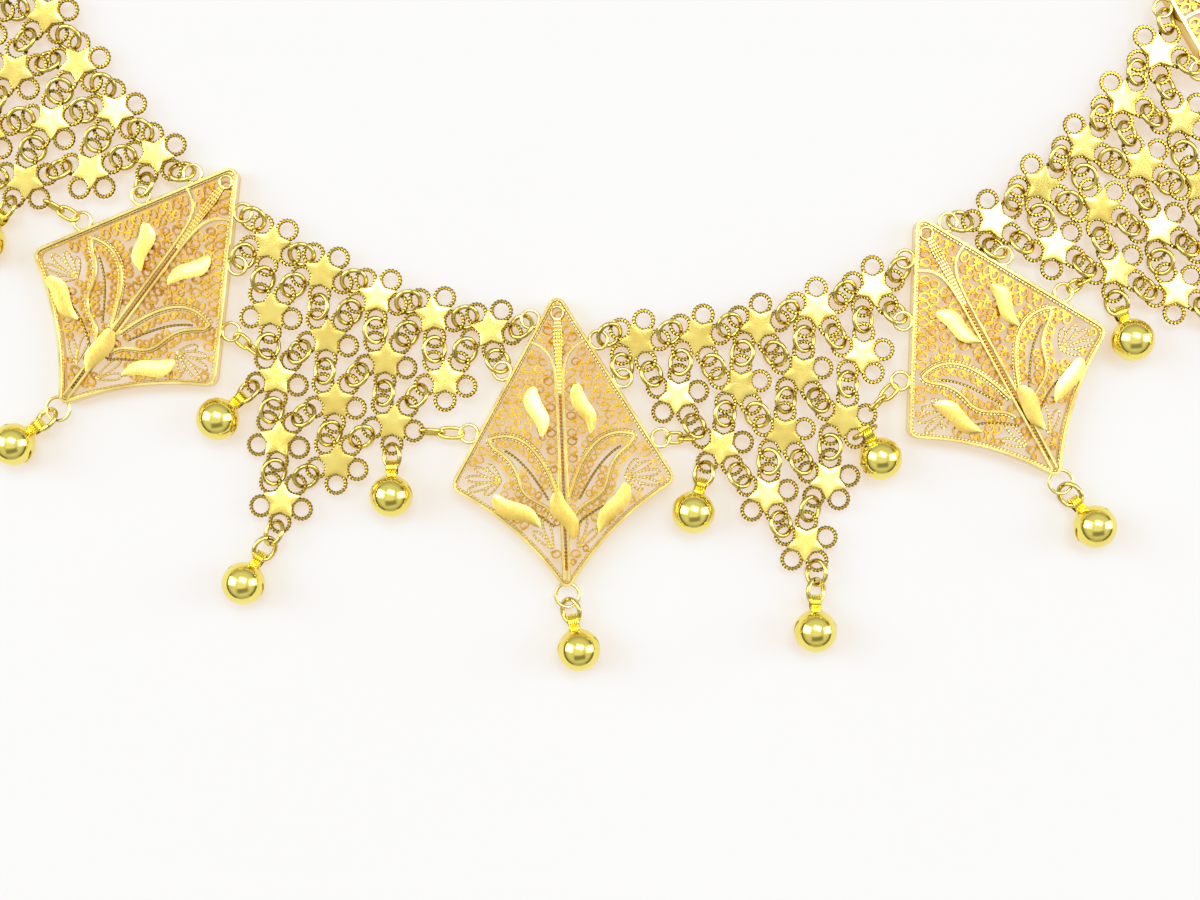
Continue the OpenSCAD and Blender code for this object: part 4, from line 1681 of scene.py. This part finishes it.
@dataclass(frozen=True)
class BackRoute:
    """Way of one half of the back chain round the neck.

    Attributes:
        side: Side of the necklace.
        kite: Kite that it starts from.
        angles: Angles on the collar's circle.
        radii: Distances from its middle there.
        lie: Height of the chain's middle on the table.
        pitch: Distance wanted from one link to the next.
        kite_gap: From the middle of the kite's eyelet to the chain's end.
        clasp_gap: From the middle of the clasp's ring to the chain's end.
    """

    side: Side
    kite: int
    angles: tuple[int, ...]
    radii: tuple[float, ...]
    lie: float = 0.95
    pitch: float = 2.35
    kite_gap: float = 0.62
    clasp_gap: float = 0.45

    def chain(self) -> OvalChain:
        """Chain from the end kite to the clasp.

        Returns:
            The chain.
        """
        clasp = Clasp()
        sign = -1 if self.side == Side.LEFT else 1
        hold = PLAN.eyelet(self.kite, self.side, Hold.HIGH)
        points = np.array([r * heading(a) + self.lie * UP for a, r in zip(self.angles, self.radii)])
        level = np.array([1, 1, 0])
        start = hold + self.kite_gap * unit(points[0] * level - hold * level)
        end = np.array([sign * (clasp.reach - clasp.loop_r + self.clasp_gap), clasp.y, clasp.z])
        line = smoothed(resample(np.vstack([start, points, end]), 1.0), 6)
        links = round(float(run_of(line)[-1]) / self.pitch)
        node = f"back_chain_{self.side.name.lower()}"
        return OvalChain(f"{node.capitalize()}_links", node, line, links, wire=0.29, width=1.65)


ROUTES = (
    BackRoute(
        Side.LEFT, 0, (*range(82, 167, 6), 171),
        (80.2, 80.5, 80.6, 80.5, 80.2, 80, 79.7, 79.5, 79.4, 79.5, 79.7, 80, 80.2, 80.3, 80.2, 80.2),
    ),
    BackRoute(
        Side.RIGHT, 4, (*range(-72, -163, -6), -167, -171),
        (
            80.2, 80.4, 80.6, 80.6, 80.4, 80.1, 79.8, 79.5, 79.3,
            79.3, 79.5, 79.8, 80, 80.2, 80.3, 80.3, 80.2, 80.2,
        ),
    ),
)


# Studio


@dataclass(frozen=True)
class Softbox:
    """Soft rectangular light or dark card far away, as a patch of the sky.

    Attributes:
        azimuth: Where it stands in degrees, from the right of the picture and turning left.
        height: Its middle's height above the table in degrees.
        width: Half of its width in degrees.
        depth: Half of its depth in degrees.
        edge: Width of its soft edge in degrees.
        strength: Light that it adds, below zero for a dark card.
    """

    azimuth: float
    height: float
    width: float
    depth: float
    edge: float
    strength: float

    def add(self, tree: Tree, way: Socket) -> Socket:
        """Adds its patch of light.

        Args:
            tree: Node tree of the sky.
            way: Direction looked at.

        Returns:
            The light that it adds in that direction.
        """
        a, h = math.radians(self.azimuth), math.radians(self.height)
        middle = np.array([math.cos(h) * math.cos(a), math.cos(h) * math.sin(a), math.sin(h)])
        level = np.array([-math.sin(a), math.cos(a), 0.0])
        amount = add_range(tree, self.add_dot(tree, way, middle), (0.0, 0.2), (0.0, self.strength), True)
        for axis, half in ((level, self.width), (np.cross(middle, level), self.depth)):
            off = add_math(tree, "ABSOLUTE", self.add_dot(tree, way, axis))
            edges = [math.sin(math.radians(d)) for d in (half + self.edge, half)]
            amount = add_math(tree, "MULTIPLY", amount, add_range(tree, off, edges, (0.0, 1.0), True))
        return amount

    def add_dot(self, tree: Tree, way: Socket, axis: np.ndarray) -> Socket:
        """Adds a node for how far a direction goes along an axis, and returns its output."""
        inputs = {0: way, 1: tuple(axis)}
        return add_node(tree, "VectorMath", inputs, {"operation": "DOT_PRODUCT"}, "Value")


@dataclass(frozen=True)
class Studio:
    """White table that glows warm as painted light, beneath a bright white sky and seen from straight
    above.
    """

    # Light of the low sky, what is added overhead, and the heights between which it grows
    sky: float = 0.44
    dome: float = 0.32
    dome_edge: tuple[float, float] = (8.0, 34.0)
    darkest: float = 0.03
    sky_tone: str = "FFFEFA"
    # Painted light that the overexposed table gives off though it is no lamp, warm so that its shadows
    # turn peach, and its two cool tones of reflection, which with it read white where the sky lights the
    # table
    glow: float = 0.74
    glow_tone: str = "FFDAAC"
    table_tones: tuple[str, str] = ("6489A6", "658AA7")
    mottle_mm: float = 60.0
    table_half: float = 4000.0
    table_z: float = -0.03
    # Two windows at the sides, the high lamp, a faint patch overhead, and three dark cards
    boxes: tuple[Softbox, ...] = (
        Softbox(165, 36, 12, 17, 7, 5.5),
        Softbox(8, 26, 9, 17, 7, 5.5),
        Softbox(HIGH_LAMP, 68, 14, 7, 6, 8.0),
        Softbox(0, 90, 18, 18, 10, 0.17),
        Softbox(-82, 52, 22, 6, 15, -0.5),
        Softbox(195, 4, 50, 5, 5, -0.34),
        Softbox(-10, 4, 50, 5, 5, -0.34),
    )
    camera_at: tuple[float, float, float] = (1.93, -74.72, 240.0)
    field_w: float = 150.0
    sensor: float = 36.0

    def add_floor(self) -> None:
        """Adds the white table top, a little below the necklace, with its painted glow."""
        mesh = bpy.data.meshes.new("White_table")
        line = np.linspace(-self.table_half, self.table_half, 3) * MM
        points = [(x, y, self.table_z * MM) for y in line for x in line]
        mesh.from_pydata(points, [], grid_faces(3, 3, False, False).tolist())
        floor = bpy.data.objects.new("White_table", mesh)
        bpy.context.scene.collection.objects.link(floor)
        made, tree, shader = new_material("white_matt_card")
        feed(tree, shader, {
            "Base Color": add_tones(tree, add_clouds(tree, self.mottle_mm), *self.table_tones),
            "Roughness": 0.9,
            "Specular IOR Level": 0.1,
            # Painted light: the table glows warm, which tints its shadows peach and lights the gold from
            # below
            "Emission Color": to_linear(self.glow_tone),
            "Emission Strength": self.glow,
        })
        mesh.materials.append(made)
        floor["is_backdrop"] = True

    def add_sky(self) -> None:
        """Adds the sky with its soft lights and its dark cards."""
        world = bpy.data.worlds.new("Light_tent")
        bpy.context.scene.world = world
        world.use_nodes = True
        tree = world.node_tree
        way = add_node(tree, "TexCoord", output="Generated")
        height = add_node(tree, "SeparateXYZ", {0: way}, output="Z")
        edges = [math.sin(math.radians(d)) for d in self.dome_edge]
        total = add_range(tree, height, edges, (self.sky, self.sky + self.dome), True)
        for box in self.boxes:
            total = add_math(tree, "ADD", box.add(tree, way), total)
        total = add_math(tree, "MAXIMUM", total, self.darkest)
        feed(tree, tree.nodes["Background"], {"Color": to_linear(self.sky_tone), "Strength": total})

    def add_camera(self) -> None:
        """Adds the camera straight above the collar's front."""
        data = bpy.data.cameras.new("Photo_camera")
        camera = bpy.data.objects.new("Photo_camera", data)
        bpy.context.scene.collection.objects.link(camera)
        data.sensor_width = self.sensor
        data.lens = self.sensor * self.camera_at[2] / self.field_w
        data.clip_start = 0.01
        data.clip_end = 10
        data.dof.use_dof = False
        camera.location = tuple(c * MM for c in self.camera_at)
        bpy.context.scene.camera = camera

    def build(self) -> None:
        """Builds the studio."""
        self.add_camera()
        self.add_floor()
        self.add_sky()
        bpy.context.scene.view_settings.view_transform = "Standard"


def parts() -> Iterator[Part]:
    """Every piece of the necklace.

    Yields:
        Each piece, from the kites to the clasp.
    """
    for k in range(len(PLAN.kites)):
        yield Kite(f"Filigree_kite_{k + 1}", f"kite_{k + 1}", k)
        yield DropRing(f"Drop_ring_{k + 1}", f"kite_ring_{k + 1}", k)
    for k in range(len(PLAN.panels)):
        yield StarPanel(f"Star_panel_{k + 1}", f"stars_{k + 1}", k)
        yield RingPanel(f"Jump_rings_{k + 1}", f"rings_{k + 1}", k)
    yield from bells()
    yield from side_chains()
    for route in ROUTES:
        yield route.chain()
    yield Clasp()


def main() -> None:
    """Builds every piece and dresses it."""
    logging.basicConfig(level=logging.INFO, format="%(message)s")
    cad_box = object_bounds()
    Studio().build()
    materials = {finish.name: finish.material() for finish in FINISHES}
    for part in parts():
        part.build(materials)
    boxes = {"cad": cad_box, "visual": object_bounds()}
    {name: [list(corner) for corner in box] for name, box in boxes.items()}


if __name__ == "__main__":
    main()
